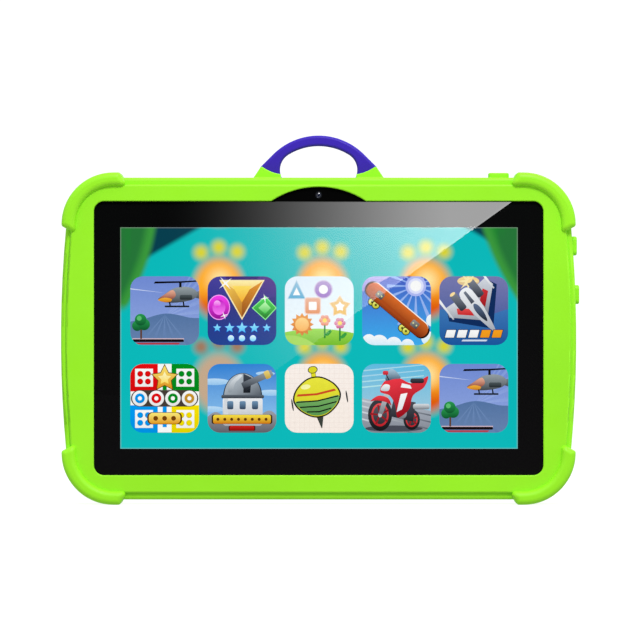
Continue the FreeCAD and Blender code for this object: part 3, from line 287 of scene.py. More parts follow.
def black_print_with_painted_shade(name):
    """Black ink behind glass, lighter at the bottom and darker towards the top as a painted shade: the glass
    in front gives the shine.
    """
    finish = Finish(name, roughness=0.004, ior=GLASS_IOR)
    _, _, z = finish.axes()
    # painted shade: the print is lighter at the bottom and darker towards the top
    height = finish.span(z, 20.0, 110.0)
    ink_with_painted_shade = finish.blend(height, srgb(18, 17, 18), srgb(11, 12, 12))
    speckle = finish.span(finish.noise(0.8, 3.0), 0.3, 0.7, 0.0, 0.3)
    finish.paint(speckle, ink_with_painted_shade, srgb(8, 8, 9))
    return finish.material


def wallpaper(name):
    """Blurred picture behind the tiles: leaves in the upper corners, and rows of soft warm lights."""
    finish = Finish(name, base_color=NO_LIGHT, roughness=0.6, specular_ior_level=0.0)
    x, _, z = finish.axes()
    x = finish.minus(x, PICTURE_MIDDLE[0])
    z = finish.minus(z, PICTURE_MIDDLE[1])
    side = finish.math("ABSOLUTE", x)
    light_x, half_pitch, last_x = 1.3, 20.1, 59.0
    light_z, above, below, last_z = 19.3, 22.0, -14.7, -31.0
    faded_x, faded_z = -19.0, 4.0
    column = finish.math("WRAP", finish.minus(x, light_x), half_pitch, -half_pitch)
    row = finish.math("WRAP", finish.minus(z, light_z), above, below)
    shown = finish.times(finish.math("LESS_THAN", side, last_x), finish.math("GREATER_THAN", z, last_z))
    faded = finish.times(finish.math("LESS_THAN", x, faded_x), finish.math("LESS_THAN", z, faded_z))

    def spot(across, up, radius, blur, tall=1.0):
        """1 inside a soft-edged oval of the repeating cell, 0 outside."""
        dx = finish.minus(column, across)
        dz = finish.math("DIVIDE", finish.minus(row, up), tall)
        squares = finish.plus(finish.times(dx, dx), finish.times(dz, dz))
        disc = finish.span(finish.math("SQRT", squares), radius - blur, radius + blur, 1.0, 0.0, smooth=True)
        return finish.times(disc, shown)

    colour = finish.blend(finish.noise(30.0), srgb(8, 181, 183), srgb(14, 187, 188))
    warm = finish.blend(finish.span(row, -8.5, 1.5, smooth=True), srgb(222, 90, 8), srgb(255, 172, 40))
    warm = finish.blend(spot(0.4, 3.2, 3.4, 4.4), warm, srgb(255, 234, 166))
    warm = finish.blend(faded, warm, srgb(196, 168, 140))
    colour = finish.blend(spot(0.0, 0.0, 9.6, 2.6, 1.2), colour, warm)
    yellow = finish.blend(faded, srgb(216, 210, 54), srgb(160, 122, 96))
    for across, up in ((-6.9, 13.9), (0.0, 15.9), (7.1, 14.2)):
        colour = finish.blend(spot(across, up, 2.5, 2.2), colour, yellow)

    on_right = finish.math("GREATER_THAN", x, 0.0)
    below_top = finish.minus(PICTURE[1] / 2, z)
    shade_start = finish.plus(46.2, finish.times(on_right, 10.8))
    shade = finish.minus(finish.times(finish.minus(side, shade_start), 0.57),
                        below_top)
    colour = finish.blend(finish.span(shade, -1.5, 1.5, smooth=True), colour, srgb(8, 62, 78))
    lean = finish.plus(0.16, finish.times(on_right, 0.14))
    lean = finish.plus(lean, finish.times(below_top, 0.0065))
    leaf_edge = finish.plus(63.2, finish.times(below_top, lean))
    inside = finish.minus(side, leaf_edge)
    veins = finish.span(finish.noise(9.0, 2.0, place=finish.stretched(1.0, 1.0, 0.35)), 0.35, 0.65)
    leaf = finish.blend(veins, srgb(28, 132, 46), srgb(38, 116, 56))
    leaf = finish.blend(finish.span(inside, 1.6, 6.0, 1.0, 0.0, smooth=True), leaf, srgb(58, 150, 60))
    covered = finish.times(finish.span(inside, -1.3, 1.8, smooth=True),
                          finish.span(below_top, 29.0, 34.0, 1.0, 0.0, smooth=True))
    colour = finish.blend(covered, colour, leaf)

    beyond = finish.math("MAXIMUM", finish.minus(side, PICTURE[0] / 2),
                         finish.minus(finish.math("ABSOLUTE", z), PICTURE[1] / 2))
    border = finish.span(beyond, -0.35, -0.25, 0.0, 0.25)
    colour = finish.blend(border, colour, srgb(190, 190, 190))
    finish.set(emission_color=colour, emission_strength=SCREEN_LIGHT)
    return finish.material


# ---------------------------------------------------------------- outlines

def oval(x, y, rx, ry=None, start=0.0, stop=360.0, steps=28):
    """Points round an oval, anticlockwise. A full turn doesn't repeat its first point."""
    ry = rx if ry is None else ry
    full = stop - start >= 360
    count = steps if full else steps + 1
    angles = [math.radians(start + (stop - start) * index / steps) for index in range(count)]
    return [(x + rx * math.cos(angle), y + ry * math.sin(angle)) for angle in angles]


def bar(x0, y0, x1, y1):
    return [(x0, y0), (x1, y0), (x1, y1), (x0, y1)]


def round_bar(x0, y0, x1, y1, radius, steps=6):
    """Rectangle with round corners."""
    points = []
    for x, y, start in ((x1 - radius, y1 - radius, 0), (x0 + radius, y1 - radius, 90),
                        (x0 + radius, y0 + radius, 180), (x1 - radius, y0 + radius, 270)):
        points += oval(x, y, radius, start=start, stop=start + 90, steps=steps)
    return points


def star(x, y, radius, tips=5, inner=0.45, turn=90.0):
    points = []
    for index in range(2 * tips):
        reach = radius * (inner if index % 2 else 1.0)
        angle = math.radians(turn + 180 * index / tips)
        points.append((x + reach * math.cos(angle), y + reach * math.sin(angle)))
    return points


def turned(points, degrees, about=(0.5, 0.5)):
    angle = math.radians(degrees)
    cos, sin = math.cos(angle), math.sin(angle)
    return [(about[0] + (x - about[0]) * cos - (y - about[1]) * sin,
             about[1] + (x - about[0]) * sin + (y - about[1]) * cos) for x, y in points]


def grown(points, factor):
    """The outline made larger about its own middle."""
    middle = [sum(values) / len(points) for values in zip(*points)]
    return [tuple(m + (value - m) * factor for m, value in zip(middle, point)) for point in points]


def curve(*points, steps=5):
    """Closed smooth outline through the points."""
    result = []
    count = len(points)
    for index in range(count):
        before, start, end, after = (points[(index + offset) % count] for offset in (-1, 0, 1, 2))
        for step in range(steps):
            t = step / steps
            result.append(tuple(
                0.5 * (2 * b + (c - a) * t + (2 * a - 5 * b + 4 * c - d) * t * t
                       + (3 * b - a - 3 * c + d) * t ** 3)
                for a, b, c, d in zip(before, start, end, after)))
    return result


def clipped(points, window):
    """The part of an outline that lies inside a convex window that runs anticlockwise."""
    for index, start in enumerate(window):
        end = window[(index + 1) % len(window)]
        run = (end[0] - start[0], end[1] - start[1])
        depth = [run[0] * (y - start[1]) - run[1] * (x - start[0]) for x, y in points]
        kept = []
        for here, point in enumerate(points):
            after = (here + 1) % len(points)
            if depth[here] >= 0:
                kept.append(point)
            if (depth[here] >= 0) != (depth[after] >= 0):
                kept.append(mixed(point, points[after], depth[here] / (depth[here] - depth[after])))
        points = kept
        if not points:
            break
    return points


# ---------------------------------------------------------------- pieces

def new_piece(name, vertices, faces, *materials, body="tablet", slot=None, smooth=False):
    """A mesh from millimetre points, riding on a body."""
    mesh = bpy.data.meshes.new(name)
    mesh.from_pydata([Vector(vertex) * MM for vertex in vertices], [], faces)
    for material in materials:
        mesh.materials.append(material)
    fixed = bmesh.new()
    fixed.from_mesh(mesh)
    bmesh.ops.recalc_face_normals(fixed, faces=fixed.faces[:])
    fixed.to_mesh(mesh)
    fixed.free()
    mesh.polygons.foreach_set("use_smooth", [smooth] * len(mesh.polygons))
    piece = placed(name, mesh)
    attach(piece, body)
    return piece


def prism(first, count):
    """Faces of a plate whose front ring starts at a vertex and is followed by its back ring."""
    ring = range(count)
    sides = [[first + k, first + (k + 1) % count, first + count + (k + 1) % count, first + count + k]
             for k in ring]
    return [[first + k for k in ring], [first + count + k for k in reversed(ring)], *sides]


def walls(rings, count):
    """Faces between each of the rings and the next."""
    return [[level * count + k, level * count + (k + 1) % count, (level + 1) * count + (k + 1) % count,
             (level + 1) * count + k] for level in range(rings - 1) for k in range(count)]


class Picture:
    """Flat shapes laid one over another, each a thin plate with its own colours, in a window of 0 to 1."""

    STEP = 0.012
    THICKNESS = 0.008

    def __init__(self, window, left, low, size, back):
        self.window, self.left, self.low, self.size, self.back = window, left, low, size, back
        self.vertices, self.faces, self.paint, self.layers = [], [], [], 0

    def lay(self, points, colour, to=None, along=(0.0, 1.0)):
        """One plate. Its colour runs to a second one along a direction."""
        points = clipped(points, self.window)
        if len(points) < 3:
            return
        reach = [x * along[0] + y * along[1] for x, y in points]
        low, spread = min(reach), max(max(reach) - min(reach), 1e-6)
        start, end = tint(colour), tint(to or colour)
        shades = [mixed(start, end, (value - low) / spread) for value in reach]
        self.layers += 1
        front = self.back - self.STEP * self.layers
        first, count = len(self.vertices), len(points)
        for y in (front, front + self.THICKNESS):
            self.vertices += [(self.left + u * self.size, y, self.low + v * self.size) for u, v in points]
            self.paint += shades
        self.faces += prism(first, count)

    def finish(self, name, material):
        piece = new_piece(name, self.vertices, self.faces, material, slot="display")
        colours = piece.data.color_attributes.new("paint", "FLOAT_COLOR", "POINT")
        colours.data.foreach_set("color", [value for shade in self.paint for value in shade])
        return piece


WHITE, BLACK = srgb(252, 252, 252), srgb(16, 18, 22)
WHOLE = bar(0, 0, 1, 1)


def lined(lay, points, line, colour, width=1.07, **gradient):
    """A shape with a darker outline round it."""
    lay(grown(points, width), line)
    lay(points, colour, **gradient)


def flying_machine(lay):
    """Grey helicopter over hills, a bush and a landing strip."""
    lay(WHOLE, "94aae2", "708ad4")
    for index in range(7):
        spread = 0.16 * index
        lay([(0.52, 0.42), (1.05, 0.3 + spread), (1.05, 0.37 + spread)], "96ace4", "849cdc")
    lay([(-0.1, 0.84), (0.5, 0.76), (-0.1, 0.82)], "c8d4f4")
    lay(curve((-0.1, 0.28), (0.2, 0.38), (0.52, 0.46), (0.86, 0.4), (1.1, 0.34), (1.1, -0.1), (-0.1, -0.1)),
        "6884b0", "5474a4")
    for index in range(5):
        foot = 0.18 * index
        lay([(0.5, 0.44), (foot + 0.1, 0.0), (foot + 0.16, 0.0)], "607cac", "6e8cba")
    lay(bar(0.03, 0.06, 0.78, 0.1), "ceb6c4")
    lay(round_bar(0.03, 0.045, 0.78, 0.085, 0.018), "140c12")
    lay([(0.08, 0.035), (0.73, 0.035), (0.7, 0.01), (0.11, 0.01)], "b63c42")
    lay(bar(0.145, 0.09, 0.17, 0.25), "603c24")
    for x, y, radius in ((0.1, 0.28, 0.075), (0.2, 0.3, 0.085), (0.15, 0.37, 0.085)):
        lay(oval(x, y, radius), "0e542c", "28984e")
    lay(oval(0.13, 0.39, 0.035), "5cbe70")
    lay([(0.8, 0.73), (1.05, 0.8), (1.05, 0.66)], "464e54", "747e84")
    lay(curve((0.4, 0.66), (0.5, 0.74), (0.62, 0.82), (0.78, 0.85), (0.92, 0.82), (0.98, 0.74),
        (0.9, 0.66), (0.7, 0.62), (0.52, 0.62)), "3e444a", "96a0a6")
    lay(curve((0.41, 0.66), (0.52, 0.75), (0.62, 0.8), (0.66, 0.72), (0.58, 0.66)), "84281e", "ecb096")
    lay(curve((0.4, 0.655), (0.5, 0.69), (0.6, 0.67), (0.58, 0.63), (0.5, 0.625)), "d2801c", "f4b23c")
    lay(round_bar(0.72, 0.66, 0.9, 0.73, 0.02), "22282c", "4a5458")
    lay(bar(0.71, 0.84, 0.745, 0.92), BLACK)
    lay([(0.34, 0.895), (0.36, 0.925), (0.74, 0.93), (1.02, 0.945), (1.02, 0.925), (0.74, 0.905)], "0c0a10")
    for x in (0.56, 0.76):
        lay([(x, 0.63), (x + 0.02, 0.63), (x + 0.03, 0.57), (x + 0.01, 0.57)], BLACK)
    lay(round_bar(0.5, 0.55, 0.86, 0.575, 0.012), "1a1e22")


def gems(lay):
    """Three cut stones and a row of stars."""
    lay(WHOLE, "1e4292", "3a2478")
    lay([(0.5, 0.55), (-0.1, 0.75), (-0.1, 1.1), (0.2, 1.1)], "2c348c", "463e9c")
    lay([(0.5, 0.55), (1.1, 0.75), (1.1, 1.1), (0.8, 1.1)], "2c348c", "56328c")
    top_left, top_right, tip, middle = (0.2, 0.93), (0.8, 0.93), (0.5, 0.4), (0.5, 0.74)
    lay(grown([top_left, tip, top_right], 1.1), "ffecb2")
    lay([top_left, middle, top_right], "fabe32", "fff0aa")
    lay([top_left, tip, middle], "b0620a", "fcce54", (-0.6, 1.0))
    lay([middle, tip, top_right], "8c4206", "e8961c", (0.4, 1.0))
    lay([(0.36, 0.86), (0.5, 0.62), (0.64, 0.86)], "f6ac1c", "ffde60")
    lay(star(0.26, 0.9, 0.12, 4, 0.16, 40), WHITE)
    stone = oval(0.165, 0.55, 0.15, 0.17)
    lay(grown(stone, 1.08), "ffa0ff")
    lay(stone, "960096", "fa3cf0")
    lay(oval(0.165, 0.55, 0.095, 0.11), "ff78fa", "c400c4")
    lay(oval(0.14, 0.6, 0.05, 0.05), "e61ee0", "ffb4fc")
    lay(star(0.24, 0.43, 0.06, 4, 0.2, 20), WHITE)
    square = [(0.84, 0.38), (0.99, 0.54), (0.84, 0.7), (0.66, 0.54)]
    lay(grown(square, 1.1), "96ff96")
    lay(square, "086e14", "50e05a")
    lay(grown(square, 0.55), "1ebe32", "beffb4")
    lay(star(0.83, 0.68, 0.07, 4, 0.18, 10), WHITE)
    for index in range(5):
        x, size = 0.5 + 0.18 * (index - 2), 0.085 - 0.012 * abs(index - 2)
        lined(lay, star(x, 0.25, size), "1446be", "3cbeff", 1.25, to="a0ecff")
    for index in range(3):
        x = 0.5 + 0.16 * (index - 1)
        lined(lay, oval(x, 0.1, 0.045), "143cb4", "6ed6ff", 1.3, to="e6faff")


def ringed(lay, points, colour, width=0.62):
    """Thick coloured outline with a white middle, as of a cut-out toy shape."""
    lay(grown(points, 1.14), mixed(colour, WHITE, 0.55))
    lay(points, colour, mixed(colour, WHITE, 0.25))
    lay(grown(points, width), WHITE)


def toy_shapes(lay):
    """Toy shapes in a pale sky over a green hill with a sun and flowers."""
    lay(WHOLE, "f4fcff", "e2f0fc")
    ringed(lay, [(0.05, 0.68), (0.29, 0.68), (0.17, 0.93)], srgb(92, 176, 216), 0.45)
    ringed(lay, oval(0.56, 0.81, 0.12), srgb(158, 114, 200), 0.55)
    ringed(lay, round_bar(0.3, 0.46, 0.51, 0.68, 0.03), srgb(232, 148, 96), 0.55)
    ringed(lay, star(0.8, 0.56, 0.15, 5, 0.6), srgb(240, 190, 92), 0.5)
    lay(curve((-0.1, 0.14), (0.2, 0.22), (0.5, 0.24), (0.8, 0.21), (1.1, 0.13), (1.1, -0.1), (-0.1, -0.1)),
        "78be32", "a0de54")
    lay(curve((-0.1, 0.1), (0.12, 0.14), (0.36, 0.06), (0.5, -0.1), (-0.1, -0.1)), "aadc60")
    lay(star(0.25, 0.3, 0.17, 12, 0.72), "d67a28", "f0a046")
    lay(oval(0.25, 0.3, 0.1), "fab45a", "ffd68c")
    for x, foot, colour in ((0.58, 0.1, srgb(238, 128, 84)), (0.8, 0.06, srgb(216, 92, 150))):
        lay(bar(x - 0.012, foot, x + 0.012, foot + 0.24), "2e8c3c")
        lay(curve((x, foot + 0.05), (x + 0.07, foot + 0.12), (x + 0.1, foot + 0.1),
            (x + 0.05, foot + 0.04)), "3ca046")
        for index in range(6):
            turn = math.radians(60 * index)
            lay(oval(x + 0.05 * math.cos(turn), foot + 0.26 + 0.05 * math.sin(turn), 0.034, steps=14),
                colour, mixed(colour, WHITE, 0.4))
        lay(oval(x, foot + 0.26, 0.032, steps=14), "ffe26e")


def board_and_sun(lay):
    """Wooden board on wheels under a bright sun."""
    lay(WHOLE, "3cacf0", "4a5cc8")
    lay([(-0.1, 1.1), (-0.1, 0.72), (0.6, 1.1)], "968cd8", "beb4ec")
    sun = (0.78, 0.86)
    for index in range(16):
        near, far = (math.radians(22.5 * index + offset) for offset in (-3.2, 3.2))
        reach = 0.62 if index % 2 else 0.42
        lay([sun, (sun[0] + reach * math.cos(near), sun[1] + reach * math.sin(near)),
            (sun[0] + reach * math.cos(far), sun[1] + reach * math.sin(far))], "96b4f0")
    lay(oval(*sun, 0.15), "b0baf4")
    lay(oval(*sun, 0.115), "dee2ff")
    lay(oval(*sun, 0.08), WHITE)
    for x, y, radius in ((0.1, 0.06, 0.1), (0.25, 0.02, 0.13), (0.46, 0.0, 0.12), (0.66, -0.01, 0.1),
                         (0.96, 0.1, 0.1), (1.02, 0.36, 0.09)):
        lay(oval(x, y, radius), "d6eeff", WHITE)
    for u, v in ((-0.32, -0.13), (0.26, -0.14)):
        for side in (-0.035, 0.035):
            wheel = turned([(0.5 + u + side, 0.5 + v)], -40)[0]
            lay(oval(*wheel, 0.062), BLACK)
            lay(oval(*wheel, 0.050), "bebe28", "f0f078")
            lay(oval(*wheel, 0.018, steps=12), "5a5a1e")
    deck = turned(round_bar(-0.05, 0.4, 1.05, 0.63, 0.11, 8), -40)
    lay(grown(deck, 1.05), "28120a")
    lay(turned(round_bar(-0.04, 0.42, 1.04, 0.645, 0.11, 8), -40), "faf4ec")
    lay(deck, "78280c", "e2702c", (0.5, 0.7))
    lay(turned(bar(0.1, 0.44, 0.9, 0.49), -40), "963e16", "b8501e")
    for u in (0.17, 0.83):
        plate = turned(round_bar(u - 0.06, 0.47, u + 0.06, 0.57, 0.02), -40)
        lay(plate, "464648", "969696")
        for du in (-0.03, 0.03):
            lay(turned(oval(u + du, 0.52, 0.012, steps=10), -40), "e6e6a0")


def space_plane(lay):
    """White and red space plane over blue, with slanted stripes below it."""
    lay(WHOLE, "184c94", "787ab0")
    lay(curve((-0.1, 0.46), (0.3, 0.5), (0.7, 0.44), (1.1, 0.5), (1.1, -0.1), (-0.1, -0.1)), "1a549c",
        "3c76b6")
    lay(oval(0.42, 0.93, 0.16, 0.07), "dcbe96", "ffe096")
    lay(star(0.42, 0.93, 0.16, 8, 0.3), "ffecb4")

    def part(points, *colours):
        lay(turned(points, 38, (0.5, 0.6)), *colours)

    part([(0.5, 0.14), (0.06, 0.62), (0.12, 0.74), (0.88, 0.74), (0.94, 0.62)], "102c5c")
    part([(0.49, 0.3), (0.1, 0.66), (0.14, 0.8), (0.42, 0.78)], "969ca8", "eceef4")
    part([(0.51, 0.3), (0.9, 0.66), (0.86, 0.8), (0.58, 0.78)], "6e7482", "d6dae4")
    part([(0.22, 0.62), (0.4, 0.46), (0.41, 0.58), (0.26, 0.7)], "c41e24", "e85050")
    part([(0.78, 0.62), (0.6, 0.46), (0.59, 0.58), (0.74, 0.7)], "96141c", "d23238")
    for x in (0.12, 0.86):
        part([(x, 0.6), (x + 0.02, 0.6), (x + 0.03, 0.96), (x - 0.01, 0.96)], "bec4ce", WHITE)
    part(curve((0.5, 0.08), (0.44, 0.3), (0.4, 0.6), (0.42, 0.84), (0.58, 0.84), (0.6, 0.6),
         (0.56, 0.3)), "a0a6b2", "f6f8fc")
    part(curve((0.5, 0.28), (0.46, 0.4), (0.46, 0.54), (0.5, 0.6), (0.54, 0.54), (0.54, 0.4)), "121622",
         "5a6c8c")
    part([(0.47, 0.62), (0.53, 0.62), (0.52, 0.82), (0.48, 0.82)], "3c4250", "788090")
    for x in (0.34, 0.66):
        part(round_bar(x - 0.055, 0.62, x + 0.055, 0.9, 0.03), "282c38", "7e8492")
        part(oval(x, 0.9, 0.045, 0.022), "ffe2a0")
    for index, colour in enumerate((WHITE, WHITE, WHITE, srgb(250, 160, 30), srgb(250, 160, 30))):
        left = 0.08 + 0.17 * index
        slanted = [(left, 0.11), (left + 0.13, 0.11), (left + 0.16, 0.22), (left + 0.03, 0.22)]
        lay(grown(slanted, 1.15), "0e285a")
        lay(slanted, mixed(colour, BLACK, 0.12), colour)
    lay([(0.32, 0.055), (0.68, 0.055), (0.7, 0.08), (0.34, 0.08)], "d2dcec")


def board_game(lay):
    """Four coloured yards with counters, lanes between them and a star."""
    lane = 0.2
    yard = (1 - lane) / 2
    colours = [srgb(226, 12, 16), srgb(0, 140, 30), srgb(0, 152, 240), srgb(244, 222, 0)]
    lay(WHOLE, "fafafa")
    for index in range(8):
        mark = 0.125 * index
        lay(bar(mark, 0.4, mark + 0.006, 0.6), "c4c8cc")
        lay(bar(0.4, mark, 0.6, mark + 0.006), "c4c8cc")
    lay(bar(0.47, 0.62, 0.53, 0.92), colours[1])
    lay(bar(0.47, 0.08, 0.53, 0.38), colours[2])
    for colour, (x, y) in zip(colours, ((0, 1 - yard), (1 - yard, 1 - yard), (0, 0), (1 - yard, 0))):
        lay(bar(x, y, x + yard, y + yard), scaled(colour, 0.9), scaled(colour, 1.05))
        inset = 0.07
        lay(bar(x + inset, y + inset, x + yard - inset, y + yard - inset), "f0f0f0", WHITE)
        for dx in (0.36, 0.64):
            for dy in (0.36, 0.64):
                spot = (x + yard * dx, y + yard * dy)
                lay(oval(*spot, 0.043, steps=16), scaled(colour, 0.6))
                lay(oval(spot[0], spot[1] + 0.004, 0.036, steps=16), colour)
    lay(round_bar(0.01, 0.38, 0.99, 0.62, 0.12), "463c36")
    for index, colour in enumerate((colours[2], colours[0], colours[1], srgb(206, 150, 40))):
        x = 0.14 + 0.24 * index
        lay(oval(x, 0.5, 0.112), WHITE, "e8e8e8", (0.0, -1.0))
        lay(oval(x, 0.5, 0.072), scaled(colour, 0.85), colour)
        lay(oval(x, 0.5, 0.03, steps=16), WHITE)
    lined(lay, star(0.5, 0.79, 0.19, 5, 0.5), "5a3204", "e08c0a", 1.12, to="ffe86e")
    lay(star(0.5, 0.79, 0.1, 5, 0.5), "ffdc50", "fffac8")
    lined(lay, round_bar(0.27, 0.13, 0.73, 0.29, 0.06), "5a3204", "e29614", 1.1, to="ffec78")
    for index in range(3):
        lay(oval(0.37 + 0.13 * index, 0.21, 0.035, steps=14), "784206")


def star_house(lay):
    """Domed observatory with a telescope, before a cloudy sky."""
    lay(WHOLE, "96ccf4", "2c80d6")
    for x, y, rx in ((0.1, 0.74, 0.22), (0.92, 0.58, 0.2), (0.05, 0.34, 0.2), (0.84, 0.86, 0.14)):
        lay(oval(x, y, rx, rx * 0.22), "96c6f0", "bedef8")
    lay(curve((-0.1, 0.1), (0.1, 0.3), (0.3, 0.22), (0.7, 0.24), (0.92, 0.32), (1.1, 0.1), (1.1, -0.1),
        (-0.1, -0.1)), "606068", "9ea0a8")
    lay(round_bar(0.22, 0.1, 0.8, 0.52, 0.05), "b0b2b8", "f0f2f6")
    lay(bar(0.24, 0.14, 0.3, 0.5), "d6dae0")
    for x in (0.33, 0.51, 0.69):
        lay(round_bar(x - 0.045, 0.34, x + 0.045, 0.46, 0.02), "2c3c54", "6e92b4")
    dome = oval(0.51, 0.52, 0.27, 0.34, 0, 180)
    lay(grown(dome, 1.06), "262c34")
    lay(dome, "4a525c", "b8c2cc", (-0.6, 1.0))
    lay(curve((0.3, 0.6), (0.34, 0.74), (0.46, 0.84), (0.5, 0.82), (0.4, 0.72), (0.36, 0.6)), "8c96a0",
        "e2e8ee")
    lay([(0.52, 0.58), (0.62, 0.58), (0.64, 0.8), (0.52, 0.86)], "14181e", "3c4450")
    lay(turned(round_bar(0.5, 0.66, 0.98, 0.75, 0.02), 24, (0.56, 0.7)), "282e38", "96a0ac")
    lay(turned(round_bar(0.86, 0.645, 0.94, 0.765, 0.02), 24, (0.56, 0.7)), "c4a03c", "f0d678")
    lay(round_bar(0.2, 0.5, 0.82, 0.55, 0.02), "2c323a", "606872")
    lined(lay, round_bar(0.08, 0.13, 0.92, 0.26, 0.03), "2e1c08", "ce740a", 1.05, to="fae246")
    for index in range(8):
        x = 0.15 + 0.1 * index
        lay(oval(x, 0.195, 0.022, steps=12), "60340a")
    lined(lay, round_bar(0.32, 0.03, 0.68, 0.1, 0.02), "320a08", "8c0c0c", 1.08, to="d2241e")


def spinning_top(lay):
    """Yellow and green humming top on squared paper."""
    lay(WHOLE, "faeee6", "fcf2ec")
    for index in range(1, 14):
        mark = index / 14
        lay(bar(mark, 0, mark + 0.004, 1), "f0e0d8")
        lay(bar(0, mark, 1, mark + 0.004), "f0e0d8")
    about = (0.47, 0.5)

    def part(points, colour, line=1.0, **gradient):
        shape = turned(points, 9, about)
        if line > 1:
            lay(grown(shape, line), BLACK)
        lay(shape, colour, **gradient)

    part(round_bar(0.44, 0.74, 0.5, 0.92, 0.02), "e4de28", 1.16)
    part(oval(0.47, 0.92, 0.06, 0.045), "ded828", 1.2)
    part([(0.42, 0.24), (0.52, 0.24), (0.475, 0.07), (0.465, 0.07)], "3c423c", 1.1)
    part(curve((0.14, 0.52), (0.2, 0.66), (0.34, 0.77), (0.47, 0.8), (0.6, 0.77), (0.74, 0.66),
         (0.8, 0.52), (0.74, 0.38), (0.6, 0.27), (0.47, 0.24), (0.34, 0.27), (0.2, 0.38)), "d6ce1e",
         1.07, to="ece840")
    part(curve((0.16, 0.5), (0.47, 0.47), (0.78, 0.5), (0.73, 0.38), (0.6, 0.28), (0.47, 0.25),
         (0.34, 0.28), (0.21, 0.38)), "589650", to="78b064")
    for v, inset in ((0.485, 0.16), (0.405, 0.2), (0.325, 0.29)):
        part([(inset, v + 0.012), (0.47, v - 0.012), (0.94 - inset, v + 0.012), (0.94 - inset, v - 0.006),
             (0.47, v - 0.032), (inset, v - 0.006)], BLACK)
    part([(0.2, 0.6), (0.47, 0.575), (0.74, 0.6), (0.76, 0.57), (0.47, 0.545), (0.18, 0.57)], "ce4a28")
    part(oval(0.33, 0.69, 0.07, 0.035), "faf8aa")
    for x in (0.1, 0.9):
        lay(turned(oval(x, 0.46, 0.012, 0.09, steps=14), 9, about), "3c3c3c")


def road_bike(lay):
    """Red motorcycle without a rider, on a fast road."""
    lay(WHOLE, "b0d2e2", "60bce2")
    for index, (v, shade) in enumerate(((0.8, 196), (0.72, 206), (0.88, 202), (0.64, 214))):
        lay([(-0.1, v), (0.9, v + 0.1), (0.9, v + 0.115), (-0.1, v + 0.02)],
            srgb(shade - 30, shade + 18, 236))
    lay([(-0.1, 0.52), (1.1, 0.3), (1.1, -0.1), (-0.1, -0.1)], "828692", "b2bac6")
    for start, drop in ((0.5, 0.0), (0.42, 0.02), (0.34, 0.05), (0.24, 0.08)):
        lay([(-0.1, start), (1.1, start - 0.26 - drop), (1.1, start - 0.28 - drop), (-0.1, start - 0.025)],
            "ced4dc", "606672", (1.0, 0.0))
    lay(oval(0.46, 0.06, 0.42, 0.045), "484c58")
    for x, y, rx, ry in ((0.72, 0.19, 0.12, 0.15), (0.26, 0.26, 0.175, 0.235)):
        lay(oval(x, y, rx, ry), "141418", "3c3e44")
        lay(oval(x, y, rx * 0.72, ry * 0.72), "be1e28", "ec5054")
        lay(oval(x, y, rx * 0.58, ry * 0.58), "302c34", "5a5860")
        for index in range(5):
            spoke = [(x - 0.012, y), (x + 0.012, y), (x + 0.012, y + ry * 0.62), (x - 0.012, y + ry * 0.62)]
            lay(turned(spoke, 72 * index + 12, (x, y)), "961822")
        lay(oval(x, y, rx * 0.16, ry * 0.16, steps=16), "bec2c8")
    lay([(0.4, 0.24), (0.74, 0.16), (0.78, 0.44), (0.46, 0.5)], "222228", "4e505a")
    lay(oval(0.58, 0.28, 0.07, 0.08), "6e727a", "aeb2ba")
    lay([(0.24, 0.28), (0.3, 0.27), (0.42, 0.62), (0.34, 0.64)], "787c84", "d2d6dc")
    lay(curve((0.12, 0.46), (0.24, 0.54), (0.38, 0.5), (0.42, 0.4), (0.36, 0.44), (0.22, 0.47)), "aa101e",
        "ee404a")
    lay(curve((0.26, 0.6), (0.34, 0.76), (0.52, 0.8), (0.7, 0.72), (0.84, 0.76), (0.96, 0.82),
        (0.9, 0.66), (0.74, 0.54), (0.68, 0.34), (0.52, 0.22), (0.48, 0.4), (0.4, 0.54)), "960818",
        "f03a48", (-0.3, 1.0))
    lay([(0.5, 0.3), (0.58, 0.34), (0.66, 0.58), (0.56, 0.56)], "e0e4ea", WHITE)
    lay([(0.56, 0.66), (0.72, 0.64), (0.7, 0.69), (0.58, 0.72)], "f4f6fa")
    lay(curve((0.34, 0.76), (0.38, 0.9), (0.46, 0.92), (0.56, 0.8), (0.46, 0.78)), "3c5068", "aac8dc")
    lay(round_bar(0.7, 0.72, 0.9, 0.79, 0.03), "1a1a20", "464650")
    lay(curve((0.27, 0.62), (0.32, 0.7), (0.4, 0.69), (0.38, 0.61)), "bec8d2", WHITE)
    lay(round_bar(0.3, 0.84, 0.38, 0.9, 0.02), "be1828", "e64654")
    lay([(0.345, 0.84), (0.36, 0.84), (0.4, 0.76), (0.385, 0.76)], BLACK)
    lay(round_bar(0.74, 0.34, 0.98, 0.42, 0.03), "787c84", "dce0e6")


TILES = [flying_machine, gems, toy_shapes, board_and_sun, space_plane,
         board_game, star_house, spinning_top, road_bike, flying_machine]


# ---------------------------------------------------------------- glass and display

TILE = 26.7
TILE_PITCH = (30.0, 34.0)


